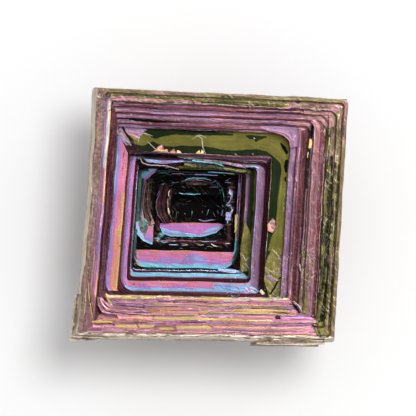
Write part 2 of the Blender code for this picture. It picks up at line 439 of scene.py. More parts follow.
FUNNEL = (
    Ledge(
        "rim", 0.0,
        left=Tread(0.5, 1.48, (TAN, TAN, ROSE, TAN, MAUVE, ROSE), (ROSE,), wear=LAYERED),
        right=Tread(0.1, 0.54, (TAN, TAN, OLIVE), (OLIVE,), (Stretch(0.8, 1.0, (TAN, ROSE, TAN), (ROSE,)),)),
        front=Tread(0.45, 0.67, (BARE,), (TAN,), wear=CREAMY),
        back=Tread(0.12, 0.55, (TAN, TAN, OLIVE, TAN), (OLIVE,)),
        corners=(0.3, 0.3, 0.5, 0.3), fine_steps=1, wear=TANNED,
    ),
    Ledge(
        "tan_frame", 0.45,
        left=Tread(1.54, 2.24, (ROSE, LILAC, LILAC, ORCHID, SALMON, GOLD), (MAROON, CRIMSON),
            (Stretch(0.68, 0.95, (LILAC, LILAC, LILAC, SKY, BARE, BARE, SALMON)),
            Stretch(0.0, 0.18, (ROSE,)), Stretch(0.95, 1.0, (MAUVE, LILAC, MAUVE), (MAUVE,))), wear=ROSY),
        right=Tread(0.6, 1.3, (OLIVE, BOTTLE, TAN, OLIVE, BOTTLE), (OLIVE, BOTTLE),
            (Stretch(0.72, 1.0, (ROSE, OLIVE, ROSE, TAN, OLIVE), (ROSE,)),)),
        front=Tread(0.74, 1.66, (ROSE, BLUSH, BLUSH, PINK, BLUSH), (ROSE,), wear=PINKISH),
        back=Tread(0.61, 1.53, (TAN, OLIVE, OLIVE, BOTTLE, BOTTLE, TAN), (MAUVE,),
            (Stretch(0.07, 0.42, (TAN, OLIVE, OLIVE, ROSE, PINK, TAN)),
            Stretch(0.76, 1.0, (TAN, ROSE, TAN, ROSE, MAUVE), (ROSE,)))),
        corners=(0.3, 0.3, 1.0, 0.3), rows=8, fine_steps=1, wear=SPECKLED,
    ),
    Ledge(
        "outer_frame", 0.9,
        left=Tread(2.32, 2.52, (MAROON, CRIMSON)),
        right=Tread(1.38, 2.28, (BOTTLE, BLACK, BOTTLE, OLIVE, BOTTLE), (MAROON, ROSE),
            (Stretch(0.75, 1.0, (OLIVE, ROSE, TAN, BOTTLE, ROSE), (ROSE,)),),
            wear=WearAndShade(0.4, 0.1, 0.4, 0.15)),
        front=Tread(1.76, 2.52, (BLUSH, LILAC, BLUSH, BLUSH), (ROSE,), (Stretch(0.0, 0.28, (ROSE,)),),
            wear=PINKISH),
        back=Tread(1.6, 2.1, (LILAC, MAUVE, LILAC, MAUVE), (CRIMSON,),
            (Stretch(0.42, 0.8, (ROSE, CRIMSON, ROSE, CRIMSON), (CRIMSON,)),
            Stretch(0.8, 1.0, (ROSE,), (ROSE,)))),
        corners=(0.5, 0.3, 1.2, 0.3), rows=7, wear=LINED,
    ),
    Ledge(
        "rose_frame", 1.35,
        left=Tread(2.58, 2.74, (MAROON, CRIMSON)),
        right=Tread(2.42, 3.98, (MAROON, MAROON, CRIMSON, CRIMSON, ROSE, ROSE, ROSE, MAUVE), (OLIVE,),
            (Stretch(0.0, 0.36, (BOTTLE, MAROON, CRIMSON, ROSE, LILAC, ROSE, OLIVE, ROSE)),), wear=ROSY),
        front=Tread(2.58, 3.3, (BLUSH, ORCHID, LILAC, BLUSH), (ROSE,), wear=PINKISH),
        back=Tread(2.25, 2.77, (LILAC, MAUVE, LILAC, MAUVE, CRIMSON), (CRIMSON,),
            (Stretch(0.8, 1.0, (ROSE, ROSE, MAUVE), (CRIMSON, ROSE)),)),
        corners=(1.6, 0.3, 1.0, 0.3), rows=8, wear=LINED,
    ),
    Ledge(
        "slot_frame", 1.8,
        left=Tread(2.8, 2.92, (CRIMSON,)),
        right=Tread(4.06, 4.54, (LILAC, BOTTLE, BLACK), (CRIMSON,), (Stretch(0.0, 0.15, (ROSE, MAUVE)),
            Stretch(0.15, 0.36, (OLIVE, LILAC, OLIVE)), Stretch(0.36, 0.62, (ROSE, BOTTLE, MAUVE))),
            wear=ROSY),
        front=Tread(3.36, 4.2, (ROSE, BLUSH, LILAC, BLUSH), (ROSE,), wear=PINKISH),
        back=Tread(3.01, 3.47, (MAUVE, LILAC, MAUVE), (BOTTLE, MAROON),
            (Stretch(0.46, 0.8, (CRIMSON, MAUVE, LILAC), (MAUVE,)), Stretch(0.8, 1.0, (ROSE,), (ROSE,)))),
        corners=(2.0, 0.3, 0.6, 0.3), rows=7, fine_steps=3, wear=LINED,
    ),
    Ledge(
        "plum_frame", 2.3,
        left=Tread(2.97, 3.07, (MAROON, CRIMSON)),
        right=Tread(4.62, 5.88, (CRIMSON, CRIMSON, MAROON, MAROON, CRIMSON, MAUVE, MAUVE), wear=ROSY),
        front=Tread(4.26, 4.98, (LILAC, BLUSH, BLUSH, SALMON, GOLD, BARE), wear=PINKISH),
        back=Tread(3.7, 4.12, (LILAC, MAUVE, MAUVE), (CRIMSON,),
            (Stretch(0.76, 1.0, (ROSE, MAUVE, MAUVE), (MAUVE,)),)),
        corners=(0.8, 0.3, 0.5, 0.3), rows=8, fine_steps=1, wear=LINED,
    ),
    Ledge(
        "mauve_frame", 2.8,
        left=Tread(3.1, 3.14, (MAUVE,)),
        right=Tread(5.93, 6.7, (MAUVE, LILAC, LILAC, LILAC), (OLIVE,), wear=ROSY),
        front=Tread(5.0, 5.02, (BARE, GOLD)),
        back=Tread(4.16, 4.56, (MAUVE, LILAC, MAUVE), (BOTTLE,), wear=ROSY),
        corners=(0.4, 0.3, 1.1, 0.3), fine_steps=1, wear=LINED,
    ),
    Ledge(
        "broad_ledge", 3.4,
        left=Tread(3.17, 4.52, (LILAC, LILAC, LAVENDER, PINK, PINK, PINK, SALMON, SALMON, GOLD),
            (MAROON, CRIMSON),
            (Stretch(0.58, 1.0, (TEAL, LAVENDER, LAVENDER, ORCHID, PINK, PINK, PINK, PINK, SALMON)),
            Stretch(0.0, 0.45, (LAVENDER, LAVENDER, ORCHID, SALMON, SALMON, SALMON, SALMON, GOLD)))),
        right=Tread(6.74, 8.72, (BOTTLE,)),
        front=Tread(5.05, 5.42, (MAROON,)),
        back=Tread(4.6, 7.3, (BOTTLE,), (MAROON, MAUVE, LILAC, MAUVE, MAROON)),
        corners=(1.5, 0.3, 1.6, 0.3), lip_corners=SQUARE, corner_films={3: (MAROON,)}, rows=12, fine_steps=3,
        wear=WearAndShade(0.35),
    ),
    Ledge(
        "second_ledge", 5.4,
        left=Tread(4.76, 5.43, (MAUVE, LILAC, LILAC, LAVENDER, ORCHID, ORCHID, PINK)),
        right=Tread(9.4, 10.33, (MAUVE, LILAC, LILAC, LILAC, LILAC, LAVENDER), wear=ROSY),
        front=Tread(5.52, 6.72, (LILAC, SKY, SKY, ORCHID, PINK, PINK, PINK, SALMON), (MAROON,),
            (Stretch(0.52, 1.0, (LILAC, SKY, SKY, SKY, LAVENDER, SKY, PINK)),)),
        back=Tread(7.8, 8.25, (MAROON, LILAC, SKY, MAROON), (BLACK, MAROON), slant=0.5, wear=LINED),
        corners=(1.7, 0.6, 1.1, 0.3), lip_corners=(0.3, 0.6, 0.6, 0.3), rows=11, wear=WearAndShade(0.4),
    ),
    Ledge(
        "third_ledge", 6.9,
        left=Tread(5.69, 5.81, (MAUVE, LILAC, SKY), wear=LINED),
        right=Tread(10.42, 11.12, (OLIVE, BOTTLE, BOTTLE)),
        front=Tread(7.17, 7.7, (LILAC, SKY, SKY, CYAN, SKY)),
        back=Tread(8.8, 9.2, (BLACK, OLIVE, OLIVE), (BLACK,), (Stretch(0.0, 0.36, (BLACK, MAROON, BLACK)),),
            wear=BLOTCHED),
        corners=(0.5, 0.5, 0.9, 0.3), rows=6, fine_steps=1, wear=WearAndShade(0.4),
    ),
    Ledge(
        "fourth_ledge", 7.6,
        left=Tread(5.87, 5.91, (BLACK,), (BLACK,)),
        right=Tread(11.15, 11.63, (MAUVE, LILAC, LILAC, MAUVE), (MAROON, BLACK), wear=ROSY),
        front=Tread(7.92, 8.04, (MAUVE, SKY), (BLACK,)),
        back=Tread(9.25, 9.3, (BLACK,), (BLACK,)),
        corners=(0.5, 0.5, 0.7, 0.3), rows=4, wear=DARK,
    ),
    Ledge(
        "pit_ledge", 9.0,
        left=Tread(5.96, 6.24, (TEAL,), (BLACK,), wear=BLOTCHED),
        right=Tread(12.1, 12.5, (BLACK, MAUVE, BLACK, LILAC), (BLACK,),
            (Stretch(0.42, 0.52, (TEAL, TAN, BARE)), Stretch(0.0, 0.42, (TEAL, TEAL, SKY))), wear=BLOTCHED),
        front=Tread(8.28, 10.26,
            (CYAN, CYAN, SKY, LAVENDER, ORCHID, ORCHID, PINK, ORCHID, PINK, PINK, PINK, SALMON), (BLACK,)),
        back=Tread(9.37, 9.62, (BLACK, TEAL), (BLACK,)),
        corners=(1.6, 2.0, 0.5, 0.3), lip_corners=(0.2, 0.2, 0.3, 0.3), rows=14, fine_steps=3,
        wear=WearAndShade(0.6),
    ),
    Ledge(
        "pit_step", 10.0,
        left=Tread(6.35, 6.8, (BLACK,), (BLACK,)),
        right=Tread(12.7, 13.8, (BLACK, BLACK, MAROON, BLACK, BLACK), (BLACK,)),
        front=Tread(10.9, 11.77, (BLACK, BLACK, MAROON, BLACK, BLACK), (BLACK,)),
        back=Tread(10.19, 10.51, (BLACK,), (BLACK,)),
        corners=(1.0, 0.4, 0.4, 0.8), lip_corners=(1.6, 0.5, 0.5, 1.6), rows=7, fine_steps=4, wear=DARK,
    ),
    Ledge(
        "pit_lip", 11.4,
        left=Tread(8.26, 8.8, (MAROON, MAROON, BLACK), (BLACK,)),
        right=Tread(13.91, 14.4, (BLACK,), (BLACK,)),
        front=Tread(11.92, 13.5, (BLACK,), (BLACK,)),
        back=Tread(11.8, 12.15, (BLACK,), (BLACK,)),
        corners=(1.6, 1.2, 0.6, 1.4), lip_corners=(0.3, 0.2, 0.4, 1.2), rows=7, fine_steps=4, wear=DARK,
    ),
    Ledge(
        "pit_floor", 14.0,
        left=Tread(9.9, 10.6, (BLACK,)),
        right=Tread(14.5, 15.2, (BLACK,)),
        front=Tread(13.6, 14.1, (BLACK,)),
        back=Tread(12.4, 12.9, (BLACK,)),
        corners=(0.6, 0.5, 0.5, 0.9), rows=3, wear=DARK,
    ),
)


def course(
    name: str,
    depth: float,
    insets: Corners,
    films: Films,
    grit: float = 0.0,
    fine_steps: int = 3,
    ledge: float = 0.05,
) -> Ledge:
    """One course of the outside: a short underside, and the wall below it.

    Args:
        name: what the course is called.
        depth: depth of its top edge.
        insets: its insets from the left, right, front and back sides.
        films: the films down its wall.
        grit: how dull and rough it is.
        fine_steps: small steps in its wall.
        ledge: width of the flat edge at its top.

    Returns:
        The course, as a ledge whose lip is its top edge.
    """
    treads = []
    for number, inset in enumerate(insets):
        turned = films[number % len(films):] + films[:number % len(films)]
        treads.append(Tread(inset + ledge, inset, films[:1], turned))
    left, right, front, back = treads
    wear = WearAndShade(0.5, grit, 0.6, 0.3)
    return Ledge(name, depth, left, right, front, back, rows=2, fine_steps=fine_steps, wear=wear)


CREAM_EDGE = Tread(0.05, 0.0, (BARE,), wear=CREAMY)
TAN_EDGE = Tread(0.05, 0.0, (TAN,), wear=TANNED)
BEVEL = Ledge("bevel", 0.0, left=CREAM_EDGE, right=TAN_EDGE, front=CREAM_EDGE, back=TAN_EDGE)
OUTSIDE = (
    course("rim_edge", 0.9, (0.0, 0.0, 0.0, 0.0), (BARE, TAN, ROSE, MAUVE), 0.7, 4, 0.04),
    course("rim_foot", 3.7, (0.06, 0.05, 0.05, 0.06), (MAUVE,), 0.4, 1),
    course("second_course", 3.9, (0.9, 1.2, 0.8, 1.0), (GOLD, ROSE, PINK, LILAC, OLIVE), 0.3, 4),
    course("second_foot", 6.3, (1.0, 1.3, 0.9, 1.1), (MAUVE,), 0.2, 1),
    course("third_course", 6.5, (1.9, 2.1, 1.7, 2.2), (GOLD, PINK, ORCHID, LAVENDER), 0.2, 3),
    course("third_foot", 8.1, (2.0, 2.2, 1.8, 2.3), (MAROON,), 0.2, 1),
    course("fourth_course", 8.3, (2.8, 3.3, 2.7, 3.0), (GOLD, ROSE, ROSE, LILAC, MAUVE), 0.2, 4),
    course("fourth_foot", 10.8, (2.9, 3.4, 2.8, 3.1), (MAROON,), 0.2, 1),
    course("fifth_course", 11.0, (4.0, 4.3, 3.8, 4.4), (GOLD, PINK, LAVENDER, SKY), 0.2, 3),
    course("fifth_foot", 12.5, (4.1, 4.4, 3.9, 4.5), (MAROON,), 0.2, 1),
    course("sixth_course", 12.7, (4.9, 5.6, 5.0, 5.5), (GOLD, ROSE, OLIVE, ROSE), 0.4, 3),
    course("sixth_foot", 14.6, (5.0, 5.7, 5.1, 5.6), (MAROON,), 0.4, 1),
    course("foot", 14.8, (6.3, 6.9, 6.1, 6.8), (BARE, ROSE, ROSE, TAN), 0.6, 3),
    course("underside", 17.0, (6.4, 7.0, 6.2, 6.9), (TAN,), 0.7, 1),
)


@dataclass
class HopperSkin:
    """The crystal's whole surface, from the pit's floor over the rim to the foot."""

    plan: SkewSquare = field(default_factory=SkewSquare)
    side_points: int = 88  # points along each side in a row
    corner_points: int = 12  # points round each corner
    # how much further in a small step's lower edge lies, as a share of the step's width
    least_step: float = 0.12
    relief: float = 0.022  # height of the fine growth steps on a lined ledge
    line_scales: Pair = (0.3, 1.7)  # how fast those steps change along a row and from row to row
    line_roughness: float = 0.25  # how rough growth lines make a ledge, from 0 to 1
    # how far the ends of a tread's stretches wander from row to row, as a share of the side
    wander: float = 0.02
    side_length: float = 28.0  # length of one side on the skin map
    row_gap: float = 0.12  # distance between rows on it
    underside_wear: WearAndShade = WearAndShade(0.0, 0.8)  # how the flat underside varies

    @property
    def ring(self) -> int:
        """Points in one row."""
        return 4 * (self.side_points + self.corner_points)

    def tread_rows(self, ledge: Ledge) -> list[Row]:
        """The rows across one ledge's tread.

        Args:
            ledge: the ledge.

        Returns:
            Its rows, from the root to the lip.
        """
        rows = []
        treads = [ledge.tread(side) for side in Side]
        for step in range(ledge.rows):
            share = step / (ledge.rows - 1)
            before = max(step - 1, 0) / (ledge.rows - 1)
            rows.append(Row(
                depth=ledge.depth,
                insets=tuple(t.root + (t.lip - t.root) * share for t in treads),
                slants=tuple(t.slant for t in treads),
                radii=ledge.radii(share),
                band=Band(ledge, False, before, share) if step else None,
                wear=ledge.wear,
            ))
        return rows

    def wall_rows(self, ledge: Ledge, below: Ledge) -> list[Row]:
        """The rows down the wall between two ledges, as a few small steps.

        Args:
            ledge: the ledge above.
            below: the ledge below.

        Returns:
            The rows from just under the lip to the last one above the next root.
        """
        rows = []
        last = 2 * ledge.fine_steps - 1
        pairs = [(ledge.tread(side), below.tread(side)) for side in Side]
        for number in range(last):
            down = (number // 2 + 1) / ledge.fine_steps
            inward = ((number + 1) // 2 + (self.least_step if number % 2 == 0 else 0)) / ledge.fine_steps
            rows.append(Row(
                depth=ledge.depth + (below.depth - ledge.depth) * down,
                insets=tuple(t.lip + (n.root - t.lip) * inward for t, n in pairs),
                slants=tuple(t.slant + (n.slant - t.slant) * inward for t, n in pairs),
                radii=tuple(a + (b - a) * inward for a, b in zip(ledge.radii(1.0), below.corners)),
                band=Band(ledge, True, number / last, (number + 1) / last),
                wear=ledge.wear,
            ))
        return rows

    def rows_of(self, ledges: tuple[Ledge, ...]) -> list[Row]:
        """All the rows of a flight of ledges.

        Args:
            ledges: the ledges, in the order in which they are met.

        Returns:
            The rows in that order.
        """
        rows: list[Row] = []
        for number, ledge in enumerate(ledges):
            treads = self.tread_rows(ledge)
            if rows:
                above = ledges[number - 1]
                last = 2 * above.fine_steps - 1
                treads[0].band = Band(above, True, (last - 1) / last if last > 1 else 0.5, 1.0)
            rows += treads
            if number + 1 < len(ledges):
                rows += self.wall_rows(ledge, ledges[number + 1])
        return rows

    def drift(self, row: Row) -> None:
        """Move a row of the funnel as the funnel leans and widens on its way down."""
        front, right, back, left = row.insets
        left, front = self.plan.down_funnel(left, front, row.depth)
        across, along = self.plan.down_funnel(self.plan.width - right, self.plan.length - back, row.depth)
        row.insets = (front, self.plan.width - across, self.plan.length - along, left)

    def corner_ends(self, row: Row, corner: int) -> Triple:
        """Centre and radius of a row's round corner.

        Args:
            row: the row.
            corner: 0 to 3 for front left, front right, back right and back left.

        Returns:
            The centre's distance from the left and from the front, and the radius.
        """
        front, right, back, left = row.insets
        front_slant, right_slant, back_slant, left_slant = row.slants
        at_right, at_back = corner in (1, 2), corner in (2, 3)
        radius = row.radii[corner]
        if at_right:
            x = self.plan.width - right - (right_slant if at_back else 0.0) - radius
        else:
            x = left + (left_slant if at_back else 0.0) + radius
        if at_back:
            y = self.plan.length - back - (back_slant if at_right else 0.0) - radius
        else:
            y = front + (front_slant if at_right else 0.0) + radius
        return x, y, radius

    def spots(self, row: Row) -> list[Pair]:
        """Where a row's points lie in plan.

        Args:
            row: the row.

        Returns:
            Each point's distance from the left and from the front.
        """
        def on_arc(corner: int, share: float) -> Pair:
            x, y, radius = self.corner_ends(row, corner % 4)
            angle = math.pi + math.pi / 2 * (corner % 4 + share)
            return x + radius * math.cos(angle), y + radius * math.sin(angle)

        found = []
        for corner in range(4):
            found += [on_arc(corner, step / self.corner_points) for step in range(self.corner_points)]
            start, end = Vector(on_arc(corner, 1.0)), Vector(on_arc(corner + 1, 0.0))
            found += [tuple(start.lerp(end, step / self.side_points)) for step in range(self.side_points)]
        return found

    def look_at(self, band: Band, index: int, spot: Pair) -> tuple[Pair, WearAndShade]:
        """Films and wear of one of a band's faces.

        Args:
            band: the band that the face is in.
            index: which face of the band, counted round the row.
            spot: the face's distance from the left and from the front.

        Returns:
            The places on the colour ramp at its outer and its inner edge, and its wear.
        """
        block, step = divmod(index, self.side_points + self.corner_points)
        in_corner = step < self.corner_points
        turned = in_corner and step < self.corner_points / 2
        side = Side((block - 1) % 4 if turned else block)
        tread = band.ledge.tread(side)
        across, along = spot
        place = across / self.plan.width if side in (Side.FRONT, Side.BACK) else along / self.plan.length
        place += noise.noise(Vector((band.near * 3, band.ledge.depth * 5, side.value))) * self.wander
        films = tread.films_at(place, band.wall)
        if in_corner and not band.wall:
            films = band.ledge.corner_films.get(block, films)
        return film_pair(films, band.near, band.far), tread.wear or band.ledge.wear

    def build(self) -> bpy.types.Object:
        """Model the skin: a ring at the pit's floor, extruded row by row out to the foot.

        Returns:
            The skin's object.
        """
        funnel = self.rows_of(FUNNEL)
        for row in funnel:
            self.drift(row)
        outside = self.rows_of(OUTSIDE)
        outside[0].band = Band(BEVEL, False, 0.0, 1.0)
        rows = list(reversed(funnel)) + outside
        bands = [row.band for row in list(reversed(funnel[1:])) + outside]

        deselect_all()
        bpy.ops.mesh.primitive_circle_add(vertices=self.ring, radius=MM, fill_type="NGON")
        skin = bpy.context.object
        skin.name = skin.data.name = "crystal_skin"
        bpy.ops.object.mode_set(mode="EDIT")
        bpy.ops.mesh.select_mode(type="EDGE")
        bpy.ops.mesh.select_all(action="SELECT")
        bm = bmesh.from_edit_mesh(skin.data)
        bm.verts.layers.int.new("index")
        bm.verts.layers.int.new("row")
        places = [self.spots(row) for row in rows]
        for number, row in enumerate(rows):
            if number:
                bpy.ops.mesh.extrude_edges_move()
            self.lay_row(skin, number, row, places[number])
        bpy.ops.mesh.edge_face_add()
        self.paint(skin, bands, len(funnel) - 1, places)
        bpy.ops.mesh.select_all(action="SELECT")
        bpy.ops.mesh.normals_make_consistent(inside=False)
        bpy.ops.object.mode_set(mode="OBJECT")
        LOG.info("skin: %d rows of %d points", len(rows), self.ring)
        return skin

    def lay_row(self, skin: bpy.types.Object, number: int, row: Row, places: list[Pair]) -> None:
        """Put the selected ring of points where a row goes.

        Args:
            skin: the skin, in edit mode with one ring selected.
            number: the row's number.
            row: the row.
            places: where its points lie in plan.
        """
        bm = bmesh.from_edit_mesh(skin.data)
        index_layer, row_layer = bm.verts.layers.int["index"], bm.verts.layers.int["row"]
        for order, vert in enumerate(v for v in bm.verts if v.select):
            if number == 0:
                vert[index_layer] = order
            vert[row_layer] = number
            across, along = places[vert[index_layer]]
            round_it = vert[index_layer] * self.side_length / self.side_points
            here = Vector((round_it * self.line_scales[0], number * self.line_scales[1], 0.0))
            swell = noise.noise(here) * self.relief * row.wear.lines
            rough = row.wear.grit + row.wear.lines * self.line_roughness
            vert.co = self.plan.place(across, along, row.depth + swell, rough)

    def paint(
        self, skin: bpy.types.Object, bands: list[Band], in_funnel: int, places: list[list[Pair]],
    ) -> None:
        """Store the finish of each face's corners.

        Args:
            skin: the skin, in edit mode.
            bands: the band between each row and the next.
            in_funnel: how many of the bands are the funnel's, where the outer row is the later one.
            places: where every row's points lie in plan.
        """
        bm = bmesh.from_edit_mesh(skin.data)
        layers = FinishLayers(bm)
        index_layer, row_layer = bm.verts.layers.int["index"], bm.verts.layers.int["row"]
        for face in bm.faces:
            corners = [(loop, loop.vert[index_layer], loop.vert[row_layer]) for loop in face.loops]
            low = min(row for _, _, row in corners)
            if len(corners) != 4:
                # the pit floor's face is painted black, as painted shade; the underside's face is tan
                film, wear = (TAN, self.underside_wear) if low else (BLACK, WearAndShade(0.0))
                for loop, _, _ in corners:
                    layers.store(loop, film.place, wear.amounts, (0.0, 0.0))
                continue
            indices = [index for _, index, _ in corners]
            wraps = max(indices) - min(indices) > 1
            first = max(indices) if wraps else min(indices)
            films, wear = self.look_at(bands[low], first, places[low][first])
            for loop, index, row in corners:
                outer = (row > low) == (low < in_funnel)
                turn = self.ring if wraps and index == 0 else 0
                around = self.side_length * (index + turn) / (self.side_points + self.corner_points)
                layers.store(loop, films[0 if outer else 1], wear.amounts, (around, row * self.row_gap))


@dataclass
class NodeDesk:
    """A short way to add nodes to a material."""

    tree: bpy.types.NodeTree

    def link(self, source: Socket, socket: Socket) -> None:
        """Join an output to an input."""
        self.tree.links.new(source, socket)

    def node(self, kind: str, **settings: str) -> bpy.types.Node:
        """Add a node.

        Args:
            kind: the node's type.
            **settings: its settings.

        Returns:
            The node.
        """
        made = self.tree.nodes.new(kind)
        for name, value in settings.items():
            setattr(made, name, value)
        return made

    def math(self, operation: str, *values: Socket | float) -> Socket:
        """Add a calculation.

        Args:
            operation: the Math node's operation.
            *values: its inputs, each an output of another node or a number.

        Returns:
            The result.
        """
        made = self.node("ShaderNodeMath", operation=operation)
        for socket, value in zip(made.inputs, values):
            if isinstance(value, Socket):
                self.link(value, socket)
            else:
                socket.default_value = value
        return made.outputs[0]

    def attribute(self, name: str) -> Socket:
        """Add a stored attribute."""
        return self.node("ShaderNodeAttribute", attribute_name=name).outputs["Fac"]

    def mapped(self, vector: Socket, scale: Triple, turn: float = 0.0) -> Socket:
        """Scale a vector, and turn it about Z.

        Args:
            vector: the vector.
            scale: the scale along each axis, after the turn.
            turn: the turn in degrees.

        Returns:
            The new vector.
        """
        turned = self.node("ShaderNodeMapping")
        turned.inputs["Rotation"].default_value = (0.0, 0.0, math.radians(turn))
        self.link(vector, turned.inputs["Vector"])
        scaled = self.node("ShaderNodeMapping")
        scaled.inputs["Scale"].default_value = scale
        self.link(turned.outputs[0], scaled.inputs["Vector"])
        return scaled.outputs[0]

    def noise(self, vector: Socket, scale: float, detail: float) -> Socket:
        """Add a noise.

        Args:
            vector: where it is read.
            scale: how fine it is.
            detail: how many finer layers it has.

        Returns:
            The noise, about 0.5.
        """
        made = self.node("ShaderNodeTexNoise")
        made.inputs["Scale"].default_value = scale
        made.inputs["Detail"].default_value = detail
        self.link(vector, made.inputs["Vector"])
        return made.outputs["Fac"]

    def above(self, value: Socket, low: float, high: float) -> Socket:
        """Rise smoothly from 0 to 1 between two levels of a value.

        Args:
            value: the value.
            low: the level where the result is still 0.
            high: the level where it has reached 1.

        Returns:
            The result.
        """
        made = self.node("ShaderNodeMapRange", interpolation_type="SMOOTHSTEP")
        made.inputs["From Min"].default_value = low
        made.inputs["From Max"].default_value = high
        self.link(value, made.inputs["Value"])
        return made.outputs["Result"]

    def ramp(self, value: Socket, stops: tuple[tuple[float, Triple], ...]) -> Socket:
        """Add a colour ramp.

        Args:
            value: the value that picks the colour.
            stops: each stop's place and display colour, in order.

        Returns:
            The colour.
        """
        made = self.node("ShaderNodeValToRGB")
        points = made.color_ramp.elements
        points[0].position, points[0].color = stops[0][0], linear(stops[0][1])
        points[1].position, points[1].color = stops[-1][0], linear(stops[-1][1])
        for place, colour in stops[1:-1]:
            points.new(place).color = linear(colour)
        self.link(value, made.inputs["Fac"])
        return made.outputs["Color"]

    def mix(self, share: Socket, first: Socket, second: Socket | Triple) -> Socket:
        """Blend two colours.

        Args:
            share: how much of the second shows.
            first: the first colour.
            second: the second, from a node or as a display colour.

        Returns:
            The blend.
        """
        made = self.node("ShaderNodeMix", data_type="RGBA")
        self.link(share, made.inputs["Factor"])
        self.link(first, made.inputs["A"])
        if isinstance(second, tuple):
            made.inputs["B"].default_value = linear(second)
        else:
            self.link(second, made.inputs["B"])
        return made.outputs["Result"]

    def tint(self, colour: Socket, tint: Triple) -> Socket:
        """Multiply a colour by another, in linear light.

        Args:
            colour: the colour.
            tint: the factors for red, green and blue.

        Returns:
            The product.
        """
        made = self.node("ShaderNodeVectorMath", operation="MULTIPLY")
        self.link(colour, made.inputs[0])
        made.inputs[1].default_value = tint
        return made.outputs[0]


PROUD = 0.12  # how far a terrace that follows the funnel stands above it
TAPER = 0.45  # width of a ridge's ends, as a share of its width


def along_line(line: Line, share: float) -> Vector:
    """The point a share of the way along a line of points, by its length.

    Args:
        line: the points.
        share: 0 at the first and 1 at the last.

    Returns:
        The point.
    """
    points = [Vector(point) for point in line]
    lengths = [(b - a).length for a, b in zip(points, points[1:])]
    left = share * sum(lengths)
    for start, end, length in zip(points, points[1:], lengths):
        if left <= length:
            return start.lerp(end, left / max(length, 1e-6))
        left -= length
    return points[-1]


def side_depth(side: Side, inset: float) -> float:
    """Depth of the funnel's surface at a distance from one of the sides.

    Args:
        side: the side.
        inset: the distance from it.

    Returns:
        The depth of the ledge or the wall that lies there.
    """
    lip, depth = 0.0, 0.0
    for ledge in FUNNEL:
        tread = ledge.tread(side)
        if inset < tread.root:
            share = max(0.0, inset - lip) / max(tread.root - lip, 0.01)
            return depth + (ledge.depth - depth) * min(share, 1.0)
        lip, depth = tread.lip, ledge.depth
        if inset <= lip:
            break
    return depth


def funnel_depth(across: float, along: float) -> float:
    """Depth of the funnel's surface.

    Args:
        across: distance from the left side.
        along: distance from the front side.

    Returns:
        The depth there: that of the side whose ledges stand highest.
    """
    plan = SkewSquare()
    insets = (along, plan.width - across, plan.length - along, across)
    return min(side_depth(side, inset) for side, inset in zip(Side, insets))


@dataclass(frozen=True)
class Terrace:
    """A small step that grew on a ledge: a strip between two lines, seen from above."""

    # depth of its top below the rim, or None where it follows the funnel's ledges and walls
    depth: float | None
    root: Line  # points along one long edge, each by its distance from the left and from the front
    lip: Line  # points along the other long edge
    films: Films  # the films from the root to the lip
    drop: float = 0.5  # how far it goes down
    end_depth: float | None = None  # depth of its top at the line's far end, where it differs
    side_film: Film | None = None  # film on its edges, where it isn't the top's own; where it is dark, it paints shade along them
    wear: WearAndShade = CLEAR  # how it varies
    lip_fall: float = 0.0  # how much lower its lip lies than its root
    rows: int = 5  # faces across it, where its films differ

    @property
    def length(self) -> float:
        """Length of the root line."""
        return sum((Vector(b) - Vector(a)).length for a, b in zip(self.root, self.root[1:]))

    def spot(self, along: float, over: float) -> Vector:
        """A point of its top: the distances from the left and from the front, and the depth.

        Args:
            along: share of the way along it.
            over: share of the way from the root to the lip.

        Returns:
            The point.
        """
        flat = along_line(self.root, along).lerp(along_line(self.lip, along), over)
        if self.depth is None:
            return Vector((flat.x, flat.y, funnel_depth(flat.x, flat.y) - PROUD))
        end = self.depth if self.end_depth is None else self.end_depth
        return Vector((flat.x, flat.y, self.depth + (end - self.depth) * along + self.lip_fall * over))


def ridge(
    depth: float | None,
    line: Line,
    width: float,
    film: Film,
    wear: WearAndShade = CLEAR,
    drop: float = 0.3,
    end_depth: float | None = None,
) -> Terrace:
    """A narrow terrace of even width, tapered at its ends.

    Args:
        depth: depth of its top below the rim, or None where it follows the funnel.
        line: points along its middle.
        width: its width.
        film: its film.
        wear: how it varies.
        drop: how far it goes down.
        end_depth: depth at the far end, where it differs.

    Returns:
        The terrace.
    """
    sides: tuple[list, list] = ([], [])
    for number, point in enumerate(line):
        before, after = Vector(line[max(number - 1, 0)]), Vector(line[min(number + 1, len(line) - 1)])
        across = (after - before).normalized().orthogonal() * width / 2
        taper = TAPER if number in (0, len(line) - 1) else 1.0
        for side, sign in zip(sides, (-1, 1)):
            side.append(tuple(Vector(point) + across * sign * taper))
    return Terrace(depth, tuple(sides[0]), tuple(sides[1]), (film,), drop, end_depth, wear=wear)


